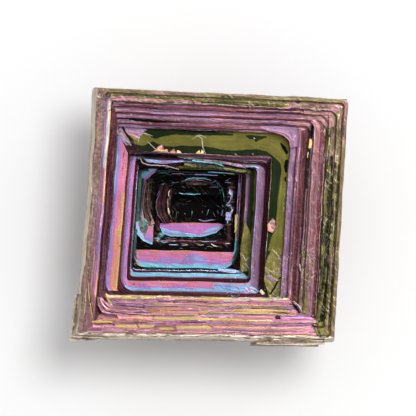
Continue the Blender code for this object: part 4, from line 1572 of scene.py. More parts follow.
PIT = (  # the crescents, the blade and the glinting edges in the pit; their black and maroon films are painted shade
    Terrace(8.7, ((7.9, 20.0), (6.9, 19.7), (6.2, 18.9), (5.95, 18.2)),
        ((8.0, 19.7), (7.65, 19.2), (7.0, 18.6), (6.3, 18.15)), (CYAN, SKY, SKY, LAVENDER, ORCHID), 1.2,
        end_depth=9.5),
    ridge(8.65, ((7.9, 19.95), (7.0, 19.8), (6.4, 19.4), (6.0, 18.6)), 0.16, CYAN, end_depth=9.3),
    Terrace(9.1, ((5.95, 18.5), (5.85, 16.5), (5.9, 14.0), (6.0, 13.2)),
        ((7.6, 18.6), (7.45, 16.5), (7.6, 14.4), (8.1, 13.3)),
        (TEAL, TEAL, TEAL, BOTTLE, TEAL, MAUVE, MAROON, BOTTLE, MAROON, BLACK, MAROON, BLACK), 0.8,
        wear=WearAndShade(0.5, 0.1, 0.9, 0.05), lip_fall=0.7, rows=24),
    Terrace(9.0, ((5.97, 13.4), (6.3, 12.0), (6.95, 11.3), (8.1, 10.9)),
        ((7.0, 13.9), (7.4, 13.5), (7.7, 13.35), (8.0, 13.2)),
        (CYAN, LAVENDER, LILAC, TEAL, TEAL, TEAL, TEAL), 1.2, wear=WearAndShade(0.6, 0.3, 0.3), rows=10),
    Terrace(8.95, ((7.1, 11.6), (8.1, 11.1)), ((7.5, 13.0), (7.95, 13.1)), (LAVENDER, ORCHID, PINK, PINK),
        0.3, wear=WearAndShade(0.5)),
    ridge(8.92, ((8.0, 13.1), (8.1, 11.1)), 0.1, SALMON),
    ridge(9.0, ((6.75, 17.9), (6.7, 17.2), (6.65, 15.3), (7.1, 13.9), (7.9, 13.2)), 0.07, ROSE, drop=0.8,
        end_depth=9.4),
    ridge(9.2, ((6.4, 18.4), (6.35, 16.6), (6.35, 14.6)), 0.06, BOTTLE, drop=0.8),
    ridge(9.5, ((7.1, 18.2), (7.1, 16.4), (7.25, 14.7), (7.8, 13.7)), 0.05, TAN, DARK, 0.8),
    Terrace(10.6, ((8.9, 19.2), (8.3, 17.6), (8.15, 16.0), (8.4, 14.5), (9.2, 13.4)),
        ((9.9, 19.1), (10.2, 17.5), (9.9, 16.0), (9.9, 14.8), (10.3, 13.5)),
        (BLACK, MAROON, BLACK, MAROON, BLACK, MAROON, BLACK), 1.2, wear=WearAndShade(0.3, 0.05, 0.4, 0.05),
        lip_fall=0.8, rows=12),
    ridge(10.5, ((8.5, 16.9), (8.2, 16.1), (8.2, 15.2), (8.45, 14.3), (9.1, 13.5)), 0.06, LILAC, drop=0.6),
    ridge(10.5, ((8.35, 17.2), (8.2, 16.6)), 0.06, ORCHID, drop=0.6),
    # cream, tan and rose strips along the dark facet's edge: a painted highlight
    ridge(10.9, ((9.6, 17.3), (9.5, 16.9), (9.55, 16.5)), 0.12, BARE, CHIPPED, 0.6),
    ridge(10.9, ((9.5, 16.3), (9.5, 15.8), (9.55, 15.3)), 0.18, TAN, CHIPPED, 0.6),
    ridge(10.9, ((9.7, 16.6), (9.7, 16.1)), 0.08, ROSE, CHIPPED, 0.6),
    ridge(10.9, ((9.6, 15.2), (9.7, 14.8), (9.75, 14.5)), 0.2, BARE, CHIPPED, 0.6),
    ridge(10.9, ((9.85, 14.4), (10.0, 14.0)), 0.1, TAN, CHIPPED, 0.6),
    Terrace(11.2, ((8.75, 13.15), (9.1, 12.3), (9.85, 12.0), (13.75, 12.1), (15.2, 12.5), (16.1, 13.25)),
        ((8.75, 13.35), (9.6, 13.5), (10.6, 13.53), (13.0, 13.55), (15.6, 13.53), (16.1, 13.4)),
        (SKY, ORCHID, ORCHID, ORCHID, ORCHID, ORCHID, PINK), 1.0, wear=WearAndShade(0.25), rows=9),
    ridge(11.12, ((8.75, 13.0), (9.15, 12.3), (9.9, 12.0), (13.75, 12.05), (15.2, 12.45), (16.05, 13.2)),
        0.12, CYAN),
    ridge(11.12, ((10.3, 13.5), (12.8, 13.57), (15.6, 13.53)), 0.06, SALMON),
    Terrace(11.14, ((9.1, 12.5), (10.4, 12.25), (13.0, 12.2)), ((9.0, 12.95), (10.1, 12.7), (12.8, 12.4)),
        (SKY, SKY, LAVENDER), 0.2, wear=BLOTCHED),
    Terrace(11.14, ((13.6, 12.3), (15.3, 12.8)), ((14.4, 12.95), (15.9, 13.45)), (SKY, SKY, LAVENDER), 0.2,
        wear=BLOTCHED),
    ridge(None, ((10.9, 18.3), (11.6, 18.6), (12.2, 18.75), (13.4, 18.75), (14.3, 18.55)), 0.14, CYAN),
    ridge(None, ((11.5, 18.45), (12.6, 18.55), (13.6, 18.45), (14.3, 18.2)), 0.08, PINK),
    Terrace(None, ((11.3, 18.3), (12.6, 18.35), (14.0, 18.2)), ((11.6, 17.9), (12.7, 17.95), (13.7, 17.95)),
        (MAROON, TAN, MAROON), 0.3, wear=CHIPPED),
    ridge(None, ((10.7, 17.95), (11.3, 18.1), (11.8, 18.5), (12.1, 19.1)), 0.06, TEAL),
    ridge(None, ((10.7, 17.0), (11.3, 16.9), (13.1, 16.95)), 0.15, CYAN, BLOTCHED),
    ridge(None, ((10.8, 16.25), (11.6, 16.3)), 0.08, TEAL),
    ridge(None, ((14.1, 17.75), (15.1, 17.75)), 0.12, CYAN),
    ridge(None, ((14.7, 18.6), (15.3, 18.2), (15.7, 17.6), (15.9, 16.9), (15.95, 16.2)), 0.07, CYAN),
    ridge(None, ((15.4, 17.5), (15.55, 16.7), (15.6, 15.9)), 0.16, TEAL, BLOTCHED),
    ridge(None, ((15.3, 15.1), (15.6, 14.6)), 0.12, LILAC, BLOTCHED),
    Terrace(None, ((16.6, 17.7), (17.0, 17.2), (16.9, 16.8)), ((16.45, 17.2), (16.75, 16.9), (16.7, 16.4)),
        (LILAC, LAVENDER, SKY), 0.3, wear=CHIPPED),
    ridge(None, ((16.1, 15.5), (16.5, 16.0), (16.9, 16.7)), 0.1, LAVENDER),
    Terrace(None, ((16.3, 14.9), (16.9, 14.9)), ((16.3, 14.0), (16.9, 14.0)), (SKY, LAVENDER, SKY), 0.3,
        wear=CHIPPED),
    ridge(None, ((13.2, 13.95), (13.8, 13.75), (14.6, 13.95), (15.1, 13.95)), 0.12, LAVENDER, CHIPPED),
    Terrace(None, ((8.3, 11.7), (8.9, 12.4)), ((8.8, 11.4), (9.4, 12.1)), (TEAL, CYAN, TEAL), 0.3,
        wear=CHIPPED),
    ridge(None, ((8.8, 11.45), (11.6, 11.45), (15.6, 11.5)), 0.07, MAUVE, CHIPPED),
    ridge(None, ((9.5, 11.4), (10.6, 11.4)), 0.12, LILAC, CHIPPED),
    ridge(None, ((13.7, 11.45), (15.3, 11.5)), 0.14, SKY, CHIPPED),
    ridge(None, ((10.0, 10.95), (11.0, 10.9)), 0.16, SKY, CHIPPED),
    ridge(None, ((14.8, 11.2), (15.2, 10.95), (15.7, 10.85)), 0.11, BARE, CHIPPED),
    ridge(None, ((16.3, 11.3), (16.6, 10.9), (17.0, 10.6)), 0.11, LILAC),
    ridge(None, ((15.8, 12.3), (15.9, 11.6)), 0.14, LILAC, CHIPPED),
    ridge(None, ((8.0, 19.2), (8.9, 19.25), (9.6, 18.9)), 0.14, TEAL, CHIPPED),
    ridge(None, ((10.9, 19.15), (13.6, 19.2)), 0.14, LAVENDER, CHIPPED),
)

FRAMES = (  # the gold steps of the front frames, the chips in the slot and the spot
    ridge(0.38, ((2.0, 1.95), (2.6, 1.98), (4.0, 1.95)), 0.26, GOLD),
    Terrace(0.84, ((1.9, 2.06), (4.15, 2.06)), ((2.0, 1.8), (4.3, 1.8)), (GOLD,), 0.2),
    # the black ridges at the gold steps' ends, here and below, are painted shadow in their notches
    ridge(0.36, ((3.9, 1.85), (4.35, 1.75), (4.6, 1.5)), 0.12, BLACK),
    Terrace(0.39, ((4.5, 1.62), (7.0, 1.62)), ((4.75, 1.34), (7.2, 1.34)), (GOLD,), 0.2),
    Terrace(0.39, ((7.15, 1.66), (9.1, 1.66)), ((7.4, 1.36), (8.9, 1.36)), (GOLD,), 0.2),
    ridge(0.36, ((6.95, 1.75), (7.3, 1.3)), 0.09, BLACK),
    Terrace(0.39, ((9.5, 1.42), (11.1, 1.42)), ((9.7, 1.16), (11.3, 1.16)), (GOLD,), 0.2),
    Terrace(0.39, ((11.4, 1.62), (15.3, 1.62)), ((11.6, 1.32), (15.6, 1.32)), (GOLD,), 0.2),
    ridge(0.36, ((15.2, 1.75), (15.65, 1.3)), 0.09, BLACK),
    ridge(0.38, ((15.7, 1.6), (19.0, 1.56), (26.6, 1.5)), 0.18, GOLD),
    ridge(0.0, ((25.1, 0.42), (27.8, 0.45)), 0.16, GOLD, WearAndShade(0.5, 0.4)),
    Terrace(0.83, ((8.75, 2.62), (15.4, 2.62), (22.5, 2.38)), ((9.05, 2.32), (15.4, 2.34), (22.4, 2.3)),
        (GOLD,), 0.2),
    ridge(1.24, ((3.3, 4.9), (4.0, 3.95), (4.35, 3.5)), 0.2, GOLD),
    ridge(1.72, ((4.3, 3.5), (7.0, 3.44), (16.0, 3.44)), 0.12, GOLD),
    ridge(1.28, ((14.0, 3.36), (20.0, 3.24), (25.3, 3.12)), 0.2, GOLD),
    Terrace(2.24, ((5.1, 4.78), (6.9, 4.78)), ((5.2, 4.55), (6.7, 4.55)), (GOLD,), 0.2),
    Terrace(2.24, ((7.2, 4.9), (8.9, 4.9)), ((7.4, 4.66), (9.1, 4.66)), (GOLD, BARE), 0.2, wear=CHIPPED),
    ridge(2.24, ((9.2, 4.86), (12.0, 4.8), (15.0, 4.84)), 0.16, GOLD, WearAndShade(0.6, 0.3, 0.4)),
    ridge(1.73, ((15.0, 4.15), (19.0, 4.12), (24.4, 4.1)), 0.16, GOLD),
    ridge(2.2, ((16.0, 4.85), (24.2, 4.8)), 0.22, BARE, CREAMY),
    ridge(1.72, ((8.0, 3.95), (17.0, 3.9)), 0.08, GOLD, WearAndShade(0.6, 0.3, 0.5)),
    ridge(None, ((1.2, 6.3), (1.4, 4.6), (2.0, 2.4)), 0.16, GOLD),
    ridge(None, ((1.4, 6.0), (1.65, 4.2), (2.2, 2.5)), 0.07, MAROON),
    ridge(-0.03, ((0.9, 7.2), (1.0, 5.0), (1.3, 2.2)), 0.16, ROSE),
    Terrace(0.86, ((2.35, 4.8), (2.45, 4.0), (3.1, 3.0), (5.0, 2.75), (8.8, 2.7)),
        ((2.9, 4.7), (3.3, 4.3), (4.1, 3.9), (5.4, 3.75), (8.2, 3.4)),
        (ROSE, MAUVE, ROSE, ROSE, MAUVE, ROSE, BLUSH), 0.4, wear=WearAndShade(0.25, 0.1, 0.7, 0.1), lip_fall=0.02,
        rows=9),
    Terrace(0.84, ((4.6, 2.85), (8.9, 2.75)), ((5.0, 2.15), (8.6, 2.15)), (ROSE, SALMON, ROSE), 0.3,
        wear=WearAndShade(0.9, 0.3, 0.8, 0.2)),
    Terrace(1.26, ((22.75, 2.75), (22.95, 3.0), (23.4, 2.98)), ((22.95, 2.5), (23.2, 2.42), (23.5, 2.65)),
        (MAROON, CRIMSON, BLACK), 0.2, wear=BLOTCHED),
    ridge(0.84, ((22.2, 2.15), (24.4, 2.15)), 0.1, MAUVE),
    ridge(0.84, ((22.4, 1.85), (24.0, 1.8)), 0.08, CRIMSON),
    ridge(1.72, ((20.0, 3.72), (24.8, 3.66)), 0.12, MAROON, BLOTCHED),
    ridge(0.8, ((4.2, 3.9), (7.0, 3.75), (9.6, 3.4)), 0.07, MAROON),
    ridge(0.8, ((5.4, 3.5), (8.4, 3.42)), 0.06, BLACK),
    ridge(0.8, ((6.6, 3.15), (8.6, 3.15)), 0.05, MAROON),
    ridge(0.8, ((6.4, 2.0), (8.2, 1.95)), 0.08, BLACK),
    ridge(0.84, ((2.5, 5.0), (2.75, 4.0), (3.5, 3.2), (6.0, 2.9), (9.0, 2.8)), 0.09, MAROON, BLOTCHED),
    ridge(0.8, ((2.4, 5.2), (2.5, 3.6), (3.1, 2.8), (4.6, 2.5)), 0.05, MAROON, BLOTCHED),
    Terrace(0.4, ((-0.1, 0.3), (2.0, 0.25), (3.8, 0.2)), ((-0.3, -0.25), (1.5, -0.22), (3.2, 0.0)),
        (BARE, TAN, BARE), 0.6, wear=WearAndShade(0.1, 0.5, 0.9, 0.2)),
    ridge(0.36, ((0.4, 0.0), (1.6, -0.05), (2.9, 0.05)), 0.05, MAUVE),
    ridge(1.0, ((3.0, 5.0), (3.4, 4.2), (4.2, 3.55)), 0.09, MAROON, BLOTCHED),
    Terrace(1.7, ((25.65, 25.6), (25.9, 25.6), (25.9, 24.2)), ((25.65, 24.4), (25.75, 24.1), (25.85, 24.1)),
        (BLACK,), 0.2),
    ridge(1.72, ((25.7, 21.9), (25.75, 20.4)), 0.22, BLACK),
    Terrace(1.6, ((25.5, 24.0), (25.8, 23.9), (25.9, 23.5)), ((25.5, 22.9), (25.7, 22.8), (25.8, 23.0)),
        (GOLD,), 0.3, wear=WearAndShade(0.6, 0.5)),
    ridge(1.6, ((25.5, 22.4), (25.45, 21.7)), 0.2, GOLD, WearAndShade(0.6, 0.5)),
    ridge(1.65, ((26.0, 25.4), (26.05, 22.0)), 0.1, LILAC),
    Terrace(1.6, ((25.5, 26.0), (26.1, 26.0)), ((25.6, 25.75), (26.1, 25.75)), (LAVENDER, LILAC), 0.3),
    ridge(1.6, ((25.3, 9.0), (25.4, 8.2)), 0.2, BARE, WearAndShade(0.6, 0.5)),
    ridge(1.6, ((25.4, 12.0), (25.5, 10.2)), 0.14, TAN, WearAndShade(0.8, 0.6, 0.5)),
    ridge(1.6, ((24.6, 4.6), (25.2, 4.0), (25.9, 3.1)), 0.22, BLACK),
    ridge(1.5, ((24.9, 4.65), (25.5, 4.2), (26.0, 3.4)), 0.14, BARE),
    ridge(1.4, ((26.1, 3.2), (26.6, 2.7)), 0.2, BARE),
    Terrace(None, ((24.6, 27.3), (26.6, 27.4), (28.0, 27.3), (28.4, 25.6)),
        ((25.2, 26.1), (26.0, 26.3), (26.8, 26.2), (27.6, 25.2)), (BLUSH, ROSE, ROSE, ROSE, ROSE), 0.4,
        wear=WearAndShade(0.4, 0.35, 0.5, 0.3), rows=16),
    Terrace(2.24, ((19.5, 25.32), (22.4, 25.34), (24.1, 25.3), (24.15, 24.2), (24.1, 23.0)),
        ((19.9, 24.9), (21.4, 24.5), (22.5, 24.2), (23.1, 23.6), (23.3, 22.8)),
        (MAUVE, LILAC, LILAC, LILAC, ROSE), 1.2, wear=WearAndShade(0.3, 0.1, 0.2, 0.1), rows=12),
    ridge(None, ((24.0, 26.9), (25.0, 26.85), (26.0, 26.6), (26.7, 26.0)), 0.08, MAROON),
    ridge(None, ((24.4, 27.3), (26.0, 27.4), (26.6, 27.3)), 0.06, BLACK, CHIPPED),
    ridge(None, ((27.7, 26.4), (27.75, 25.0), (27.65, 23.4)), 0.1, BOTTLE, CHIPPED),
    ridge(None, ((27.9, 24.2), (27.9, 23.2)), 0.14, GOLD, CHIPPED),
    ridge(None, ((27.5, 27.2), (28.1, 26.6), (28.3, 25.6)), 0.07, TAN, CHIPPED),
    ridge(None, ((28.6, 26.6), (28.7, 24.8), (28.6, 23.0)), 0.08, BOTTLE, CHIPPED),
    Terrace(0.25, ((20.7, 0.35), (24.5, 0.3), (28.9, 0.25)),
        ((20.9, -0.3), (22.4, -0.42), (26.3, -0.45), (28.6, -0.25)), (BARE, TAN, BARE), 3.0,
        wear=WearAndShade(0.1, 0.5, 0.9, 0.2)),
    ridge(0.2, ((22.8, -0.22), (24.2, -0.3), (25.6, -0.26)), 0.1, MAUVE, CHIPPED),
    Terrace(0.5, ((0.3, 5.1), (0.3, 2.2), (0.2, 0.4)), ((-0.3, 5.0), (-0.38, 3.2), (-0.3, 0.4)),
        (BARE, TAN, BARE), 2.6, 0.9, wear=WearAndShade(0.1, 0.5, 0.9, 0.2)),
    ridge(0.5, ((-0.12, 4.9), (-0.2, 4.1)), 0.16, LILAC, CHIPPED),
    ridge(0.6, ((-0.1, 3.4), (-0.15, 2.2), (-0.05, 1.2)), 0.06, TAN, CHIPPED),
    ridge(0.8, ((28.5, 8.0), (28.25, 5.2), (28.0, 3.2), (27.7, 2.2)), 0.1, OLIVE, SPECKLED),
    ridge(0.8, ((28.2, 6.0), (27.95, 4.0), (27.6, 2.4)), 0.08, OLIVE, SPECKLED),
    Terrace(None, ((27.25, 2.1), (27.6, 1.3), (28.15, 0.6)), ((28.8, 2.4), (29.2, 1.4), (29.3, 0.6)),
        (OLIVE, BOTTLE, OLIVE, OLIVE, TAN), 0.4, wear=SPECKLED, rows=10),
    ridge(0.6, ((27.3, 2.1), (27.8, 1.6)), 0.22, BLACK),
    ridge(0.74, ((28.1, 12.0), (28.0, 7.5)), 0.12, OLIVE, SPECKLED),
    ridge(1.19, ((27.45, 21.0), (27.5, 3.0)), 0.08, BARE, WearAndShade(0.8, 0.6, 0.6)),
    ridge(1.17, ((27.6, 26.0), (27.6, 21.5)), 0.14, OLIVE, SPECKLED),
)


@dataclass(frozen=True)
class SideGrowth:
    """A small block-shaped crystal that grew on one of the sides."""

    corner: Pair  # its front left corner: the distances from the left and from the front
    size: Pair  # its size in plan
    depths: Pair  # depth of its top and of its foot
    shows: tuple[Side, ...]  # the sides on which its faces are stepped in like small hoppers
    films: Films  # the films from a stepped face's rim inwards

    @property
    def middle(self) -> Vector:
        """Its middle: the distances from the left and from the front, and its height, as minus the depth."""
        return Vector((
            self.corner[0] + self.size[0] / 2, self.corner[1] + self.size[1] / 2, -sum(self.depths) / 2,
        ))

    @property
    def extent(self) -> Vector:
        """Its size along each axis."""
        return Vector((*self.size, self.depths[1] - self.depths[0]))


OUTWARD = {
    Side.FRONT: Vector((0, -1, 0)), Side.RIGHT: Vector((1, 0, 0)),
    Side.BACK: Vector((0, 1, 0)), Side.LEFT: Vector((-1, 0, 0)),
}

GROWTHS = (
    SideGrowth((-0.15, 0.5), (3.1, 4.7), (5.0, 7.0), (Side.LEFT, Side.FRONT), (BARE, GOLD, PINK, LAVENDER)),
    SideGrowth((0.35, 0.9), (2.6, 3.6), (7.0, 8.8), (Side.LEFT, Side.FRONT), (TAN, ROSE, LILAC)),
    SideGrowth((-0.12, 2.3), (2.0, 2.2), (4.4, 5.0), (Side.LEFT,), (BARE, ROSE)),
    SideGrowth((20.5, -0.5), (8.0, 4.2), (4.6, 5.7), (Side.FRONT, Side.RIGHT), (BARE, GOLD, ROSE)),
    SideGrowth((21.2, -0.4), (6.2, 3.7), (5.7, 7.3), (Side.FRONT,), (BARE, PINK, LAVENDER, SKY)),
    SideGrowth((20.9, -0.32), (4.0, 2.8), (4.2, 4.6), (Side.FRONT,), (BARE, TAN)),
    SideGrowth((25.6, -0.38), (2.6, 2.8), (4.3, 4.6), (Side.FRONT,), (BARE, TAN)),
    SideGrowth((7.5, 25.3), (6.2, 3.2), (6.1, 9.9), (Side.BACK, Side.LEFT, Side.RIGHT),
        (GOLD, PINK, LILAC, SKY)),
    SideGrowth((8.6, 25.8), (3.2, 3.0), (5.4, 6.1), (Side.BACK,), (BARE, ROSE, MAUVE)),
    SideGrowth((26.1, 8.4), (3.3, 7.2), (5.3, 7.9), (Side.RIGHT, Side.FRONT, Side.BACK),
        (BARE, GOLD, ROSE, LAVENDER)),
    SideGrowth((26.0, 10.0), (3.0, 3.6), (7.9, 9.3), (Side.RIGHT,), (TAN, PINK, LILAC)),
)


@dataclass
class GrowthMaker:
    """Builds the side growths as blocks whose faces step in."""

    plan: SkewSquare = field(default_factory=SkewSquare)
    tread: float = 0.26  # width of each small step
    fall: float = 0.16  # depth of each small step
    cuts: int = 5  # cuts along each edge of the block, so that its edges stray as the crystal's do
    rough: float = 0.5  # how rough it is, from 0 to 1
    rim_wear: WearAndShade = WearAndShade(0.2, 0.3, 0.4, 0.2)  # how its plain faces and its rims vary
    stepped_wear: WearAndShade = WearAndShade(0.2, 0.15, 0.4, 0.2)  # how its small steps vary

    def build(self, number: int, growth: SideGrowth) -> bpy.types.Object:
        """Model one growth: a block, its shown faces inset step by step, then put where it belongs.

        Args:
            number: its number, for its name.
            growth: the growth.

        Returns:
            Its object.
        """
        deselect_all()
        bpy.ops.mesh.primitive_cube_add(size=1.0, calc_uvs=False)
        made = bpy.context.object
        made.name = f"growth_{number}"
        bpy.ops.object.mode_set(mode="EDIT")
        bm = bmesh.from_edit_mesh(made.data)
        for vert in bm.verts:
            vert.co = growth.middle + vert.co * growth.extent
        bpy.ops.mesh.select_mode(type="FACE")
        for side in growth.shows:
            for _ in growth.films[1:]:
                self.pick_face(made, OUTWARD[side])
                bpy.ops.mesh.inset(thickness=self.tread, depth=-self.fall)
        bpy.ops.mesh.select_all(action="SELECT")
        bpy.ops.mesh.subdivide(number_cuts=self.cuts)
        bm = bmesh.from_edit_mesh(made.data)
        self.paint(bm, growth)
        for vert in bm.verts:
            vert.co = self.plan.place(vert.co.x, vert.co.y, -vert.co.z, self.rough)
        bpy.ops.mesh.normals_make_consistent(inside=False)
        bpy.ops.object.mode_set(mode="OBJECT")
        return made

    def pick_face(self, made: bpy.types.Object, outward: Vector) -> None:
        """Select the innermost face that looks one way: the one nearest the middle of its side.

        Args:
            made: the block, in edit mode.
            outward: the way it looks.
        """
        bm = bmesh.from_edit_mesh(made.data)
        bm.normal_update()
        facing = [face for face in bm.faces if face.normal.dot(outward) > 0.99]
        lowest = min(facing, key=lambda face: face.calc_center_median().dot(outward))
        for face in bm.faces:
            face.select_set(face == lowest)
        bm.faces.active = lowest
        bmesh.update_edit_mesh(made.data)

    def paint(self, bm: bmesh.types.BMesh, growth: SideGrowth) -> None:
        """Store the finish of a growth.

        Args:
            bm: its mesh, in millimetres.
            growth: the growth.
        """
        layers = FinishLayers(bm)
        bm.normal_update()
        for face in bm.faces:
            offset = face.calc_center_median() - growth.middle
            rings = [
                (growth.extent.dot(Vector(map(abs, out))) / 2 - offset.dot(out)) / self.fall
                for side, out in OUTWARD.items() if side in growth.shows and face.normal.dot(out) > 0.9
            ]
            ring = round(rings[0]) if rings else 0
            flat = abs(face.normal.z) > 0.9
            film = growth.films[min(ring, len(growth.films) - 1)]
            wear = self.stepped_wear if ring else self.rim_wear
            for loop in face.loops:
                x, y, z = loop.vert.co
                layers.store(loop, film.place, wear.amounts, (x + y, y if flat else z))

    def build_all(self, growths: tuple[SideGrowth, ...]) -> bpy.types.Object:
        """Model all the growths as one piece."""
        made = [self.build(number, growth) for number, growth in enumerate(growths)]
        return join(made, "crystal_growths")


@dataclass(frozen=True)
class OxideFilm:
    """The finish: glossy metal under an oxide film whose thickness sets its colour, with lines of painted
    shade and highlight.
    """

    metallic: float = 0.75  # how metallic the clean film looks
    specular: float = 0.15  # strength of the reflection of what isn't metallic
    gloss: float = 0.28  # roughness of the clean film
    dull: float = 0.62  # roughness of the worn rim
    blotch: float = 0.24  # how far blotches shift the film
    streak: float = 0.10  # how far streaks along the ledges shift it
    grain: float = 0.014  # how far fine grain shifts it
    plateau: float = 0.30  # share of the step between two films over which the colour holds
    blotch_scale: float = 0.8  # how close blotches lie, in each millimetre
    grain_scale: float = 7.0  # the same for grain
    streak_scale: Triple = (0.35, 5.0, 1.0)  # the same for streaks, along and across the ledges
    growth_scale: Triple = (0.12, 4.5, 1.0)  # the same for the dark lines of painted shade along growth steps
    hair_scale: Triple = (0.22, 14.0, 1.0)  # the same for hair lines, dark ones of painted shade and pale ones of painted highlight
    scratch_scale: Triple = (0.45, 6.0, 1.0)  # the same for scratches
    scratch_turn: float = 42.0  # turn of the scratches, in degrees
    shade: Triple = (0.16, 0.09, 0.11)  # what the dark lines of painted shade multiply the colour by
    glow: Triple = (1.7, 1.6, 1.7)  # what the pale lines of painted highlight multiply it by
    scratch_colour: Triple = (0.70, 0.64, 0.50)
    earth: tuple[tuple[float, Triple], ...] = (  # the colours of dust and dirt, by the level of its noise
        (0.36, (0.20, 0.15, 0.12)), (0.50, (0.52, 0.46, 0.38)), (0.62, (0.80, 0.75, 0.66)),
    )
    bump: float = 0.00007  # height of the fine relief in metres

    def stops(self) -> tuple[tuple[float, Triple], ...]:
        """The colour ramp's stops: two for each film, so that its colour holds over a part of the ramp."""
        films = list(Film)
        stops = []
        for one, other in zip(films, films[1:]):
            hold = (other.place - one.place) * self.plateau
            if one in PASSING:
                stops[-1] = (one.place, one.colour)
            else:
                stops.append((one.place + hold, one.colour))
            stops.append((other.place - hold, other.colour))
        return tuple(stops)

    def build(self) -> bpy.types.Material:
        """Make the material.

        Returns:
            The material.
        """
        material = bpy.data.materials.new("oxide_film")
        material.use_nodes = True
        desk = NodeDesk(material.node_tree)
        shader = material.node_tree.nodes["Principled BSDF"]
        position = desk.node("ShaderNodeTexCoord").outputs["Object"]
        in_mm = desk.mapped(position, (1000.0, 1000.0, 1000.0))
        skin_map = desk.node("ShaderNodeUVMap", uv_map="skin").outputs["UV"]
        ragged, grit, lines, scratches = (desk.attribute(name) for name in WEAR_NAMES)

        blotches = desk.noise(in_mm, self.blotch_scale, 2.0)
        streaks = desk.noise(desk.mapped(skin_map, self.streak_scale), 1.0, 4.0)
        grain = desk.noise(in_mm, self.grain_scale, 2.0)
        shift = None
        for source, amount in ((blotches, self.blotch), (streaks, self.streak), (grain, self.grain)):
            part = desk.math("MULTIPLY", desk.math("SUBTRACT", source, 0.5), amount)
            shift = part if shift is None else desk.math("ADD", shift, part)
        film = desk.math("ADD", desk.attribute("film"), desk.math("MULTIPLY", shift, ragged))
        colour = desk.ramp(film, self.stops())

        # Dark lines paint the shade of fine growth steps, and pale lines paint highlights on their lips.
        growth = desk.noise(desk.mapped(skin_map, self.growth_scale), 1.0, 3.0)
        hair = desk.noise(desk.mapped(skin_map, self.hair_scale), 1.0, 3.0)
        dark = desk.math("MAXIMUM", desk.above(growth, 0.55, 0.62), desk.above(hair, 0.56, 0.63))
        dark = desk.math("MULTIPLY", dark, lines)
        shade = desk.tint(colour, self.shade)
        pale = desk.math("MULTIPLY", desk.above(hair, 0.42, 0.37), lines)
        colour = desk.mix(desk.math("MULTIPLY", pale, 0.5), colour, desk.tint(colour, self.glow))
        colour = desk.mix(desk.math("MULTIPLY", dark, 0.85), colour, shade)

        earth = desk.ramp(desk.noise(in_mm, 3.2, 5.0), self.earth)
        colour = desk.mix(desk.math("MULTIPLY", grit, 0.55), colour, earth)

        across = desk.noise(desk.mapped(in_mm, self.scratch_scale, self.scratch_turn), 1.0, 2.0)
        scratch = desk.math("MULTIPLY", desk.above(across, 0.60, 0.66), scratches)
        colour = desk.mix(desk.math("MULTIPLY", scratch, 0.6), colour, self.scratch_colour)
        desk.link(colour, shader.inputs["Base Color"])

        rough = desk.math("MULTIPLY", grit, self.dull - self.gloss)
        rough = desk.math("ADD", rough, desk.math("MULTIPLY", blotches, 0.16))
        desk.link(desk.math("ADD", rough, self.gloss - 0.08), shader.inputs["Roughness"])
        metal = desk.math("SUBTRACT", self.metallic, desk.math("MULTIPLY", grit, self.metallic * 0.7))
        desk.link(metal, shader.inputs["Metallic"])
        shader.inputs["Specular IOR Level"].default_value = self.specular

        height = desk.math("ADD", streaks, desk.math("MULTIPLY", grain, desk.math("ADD", grit, 0.02)))
        height = desk.math("SUBTRACT", height, desk.math("MULTIPLY", dark, 1.2))
        height = desk.math("ADD", height, scratch)
        bump = desk.node("ShaderNodeBump")
        bump.inputs["Strength"].default_value = 0.4
        bump.inputs["Distance"].default_value = self.bump
        desk.link(height, bump.inputs["Height"])
        desk.link(bump.outputs["Normal"], shader.inputs["Normal"])
        return material


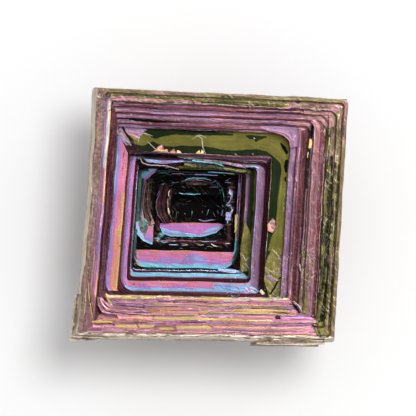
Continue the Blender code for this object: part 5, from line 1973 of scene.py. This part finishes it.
@dataclass
class Studio:
    """The pale floor, the soft light and the camera."""

    camera_distance: float = 450.0  # from the rim to the camera
    view_width: float = 48.55  # width of the floor area that the picture takes in, at the rim's height
    lean: float = 0.049  # how far the camera stands to the left and to the front, for each unit of height
    aim: Triple = (-0.385, 0.85, 17.0)  # the point of the rim's plane in the middle of the picture
    sensor: float = 36.0

    def camera(self) -> bpy.types.Object:
        """Place the camera.

        Returns:
            The camera.
        """
        deselect_all()
        toward = Vector((-self.lean, -self.lean, 1.0)).normalized()
        right = Vector((0.0, 1.0, 0.0)).cross(toward).normalized()
        turn = Matrix((right, toward.cross(right), toward)).transposed()
        aim = Vector(self.aim) * MM
        bpy.ops.object.camera_add(location=aim + toward * self.camera_distance * MM)
        camera = bpy.context.object
        camera.name = "camera"
        camera.rotation_euler = turn.to_euler()
        camera.data.sensor_width = self.sensor
        camera.data.lens = self.sensor * self.camera_distance / self.view_width
        camera.data.clip_start = 0.01
        bpy.context.scene.camera = camera
        return camera

    def floor(self) -> bpy.types.Object:
        """Lay the floor.

        Returns:
            The floor.
        """
        deselect_all()
        bpy.ops.mesh.primitive_plane_add(size=3.0)
        floor = bpy.context.object
        floor.name = "floor"
        material = bpy.data.materials.new("pale_floor")
        material.use_nodes = True
        shader = material.node_tree.nodes["Principled BSDF"]
        shader.inputs["Base Color"].default_value = (0.92, 0.92, 0.92, 1.0)
        shader.inputs["Roughness"].default_value = 0.9
        floor.data.materials.append(material)
        return floor

    def sky(self) -> None:
        """Put a pale sky all round."""
        world = bpy.data.worlds.new("studio")
        bpy.context.scene.world = world
        world.use_nodes = True
        background = world.node_tree.nodes["Background"]
        background.inputs["Color"].default_value = (1.0, 1.0, 1.0, 1.0)
        background.inputs["Strength"].default_value = 0.62

    def lamp(self, name: str, place: Triple, size: float, power: float) -> bpy.types.Object:
        """Hang a round soft lamp that points at the crystal.

        Args:
            name: its name.
            place: where it hangs, in metres.
            size: its width in metres.
            power: its power in watts.

        Returns:
            The lamp.
        """
        deselect_all()
        bpy.ops.object.light_add(type="AREA", location=place)
        lamp = bpy.context.object
        lamp.name = name
        lamp.data.shape = "DISK"
        lamp.data.size = size
        lamp.data.energy = power
        lamp.rotation_euler = (Vector((0, 0, 0.01)) - lamp.location).to_track_quat("-Z", "Y").to_euler()
        return lamp

    def light(self) -> None:
        """Hang a lamp nearly overhead for the soft shadow, and one to the side that the metal reflects."""
        self.sky()
        self.lamp("shadow_lamp", (0.085, 0.080, 0.45), 0.18, 1.15).visible_glossy = False
        self.lamp("sheen_lamp", (0.22, 0.20, 0.42), 0.24, 4.5).visible_diffuse = False

    def build(self) -> None:
        """Set the whole studio up."""
        bpy.context.scene.view_settings.view_transform = "Standard"
        self.camera()
        self.floor()
        self.light()


def main() -> None:
    """Build the crystal on its frame, and the studio round it."""
    logging.basicConfig(level=logging.INFO, format="%(name)s: %(message)s")
    noise.seed_set(NOISE_SEED)
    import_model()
    Studio().build()
    finish = OxideFilm().build()
    terraces = TerraceMaker().build_all(BROAD_LEDGE + SECOND_LEDGES + PIT + FRAMES, "crystal_terraces")
    layers = [terrace for scatter in STRATA + SCATTERS for terrace in scatter.lay()]
    strata = TerraceMaker(step=0.4).build_all(tuple(layers), "crystal_strata")
    growths = GrowthMaker().build_all(GROWTHS)
    for piece in (HopperSkin().build(), terraces, strata, growths):
        piece.data.materials.append(finish)
        activate(piece)
        bpy.ops.object.shade_smooth_by_angle(angle=math.radians(32))
        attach(piece, "root")
        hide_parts(NODE)
        LOG.info("%s: %d faces", piece.name, len(piece.data.polygons))


if __name__ == "__main__":
    main()
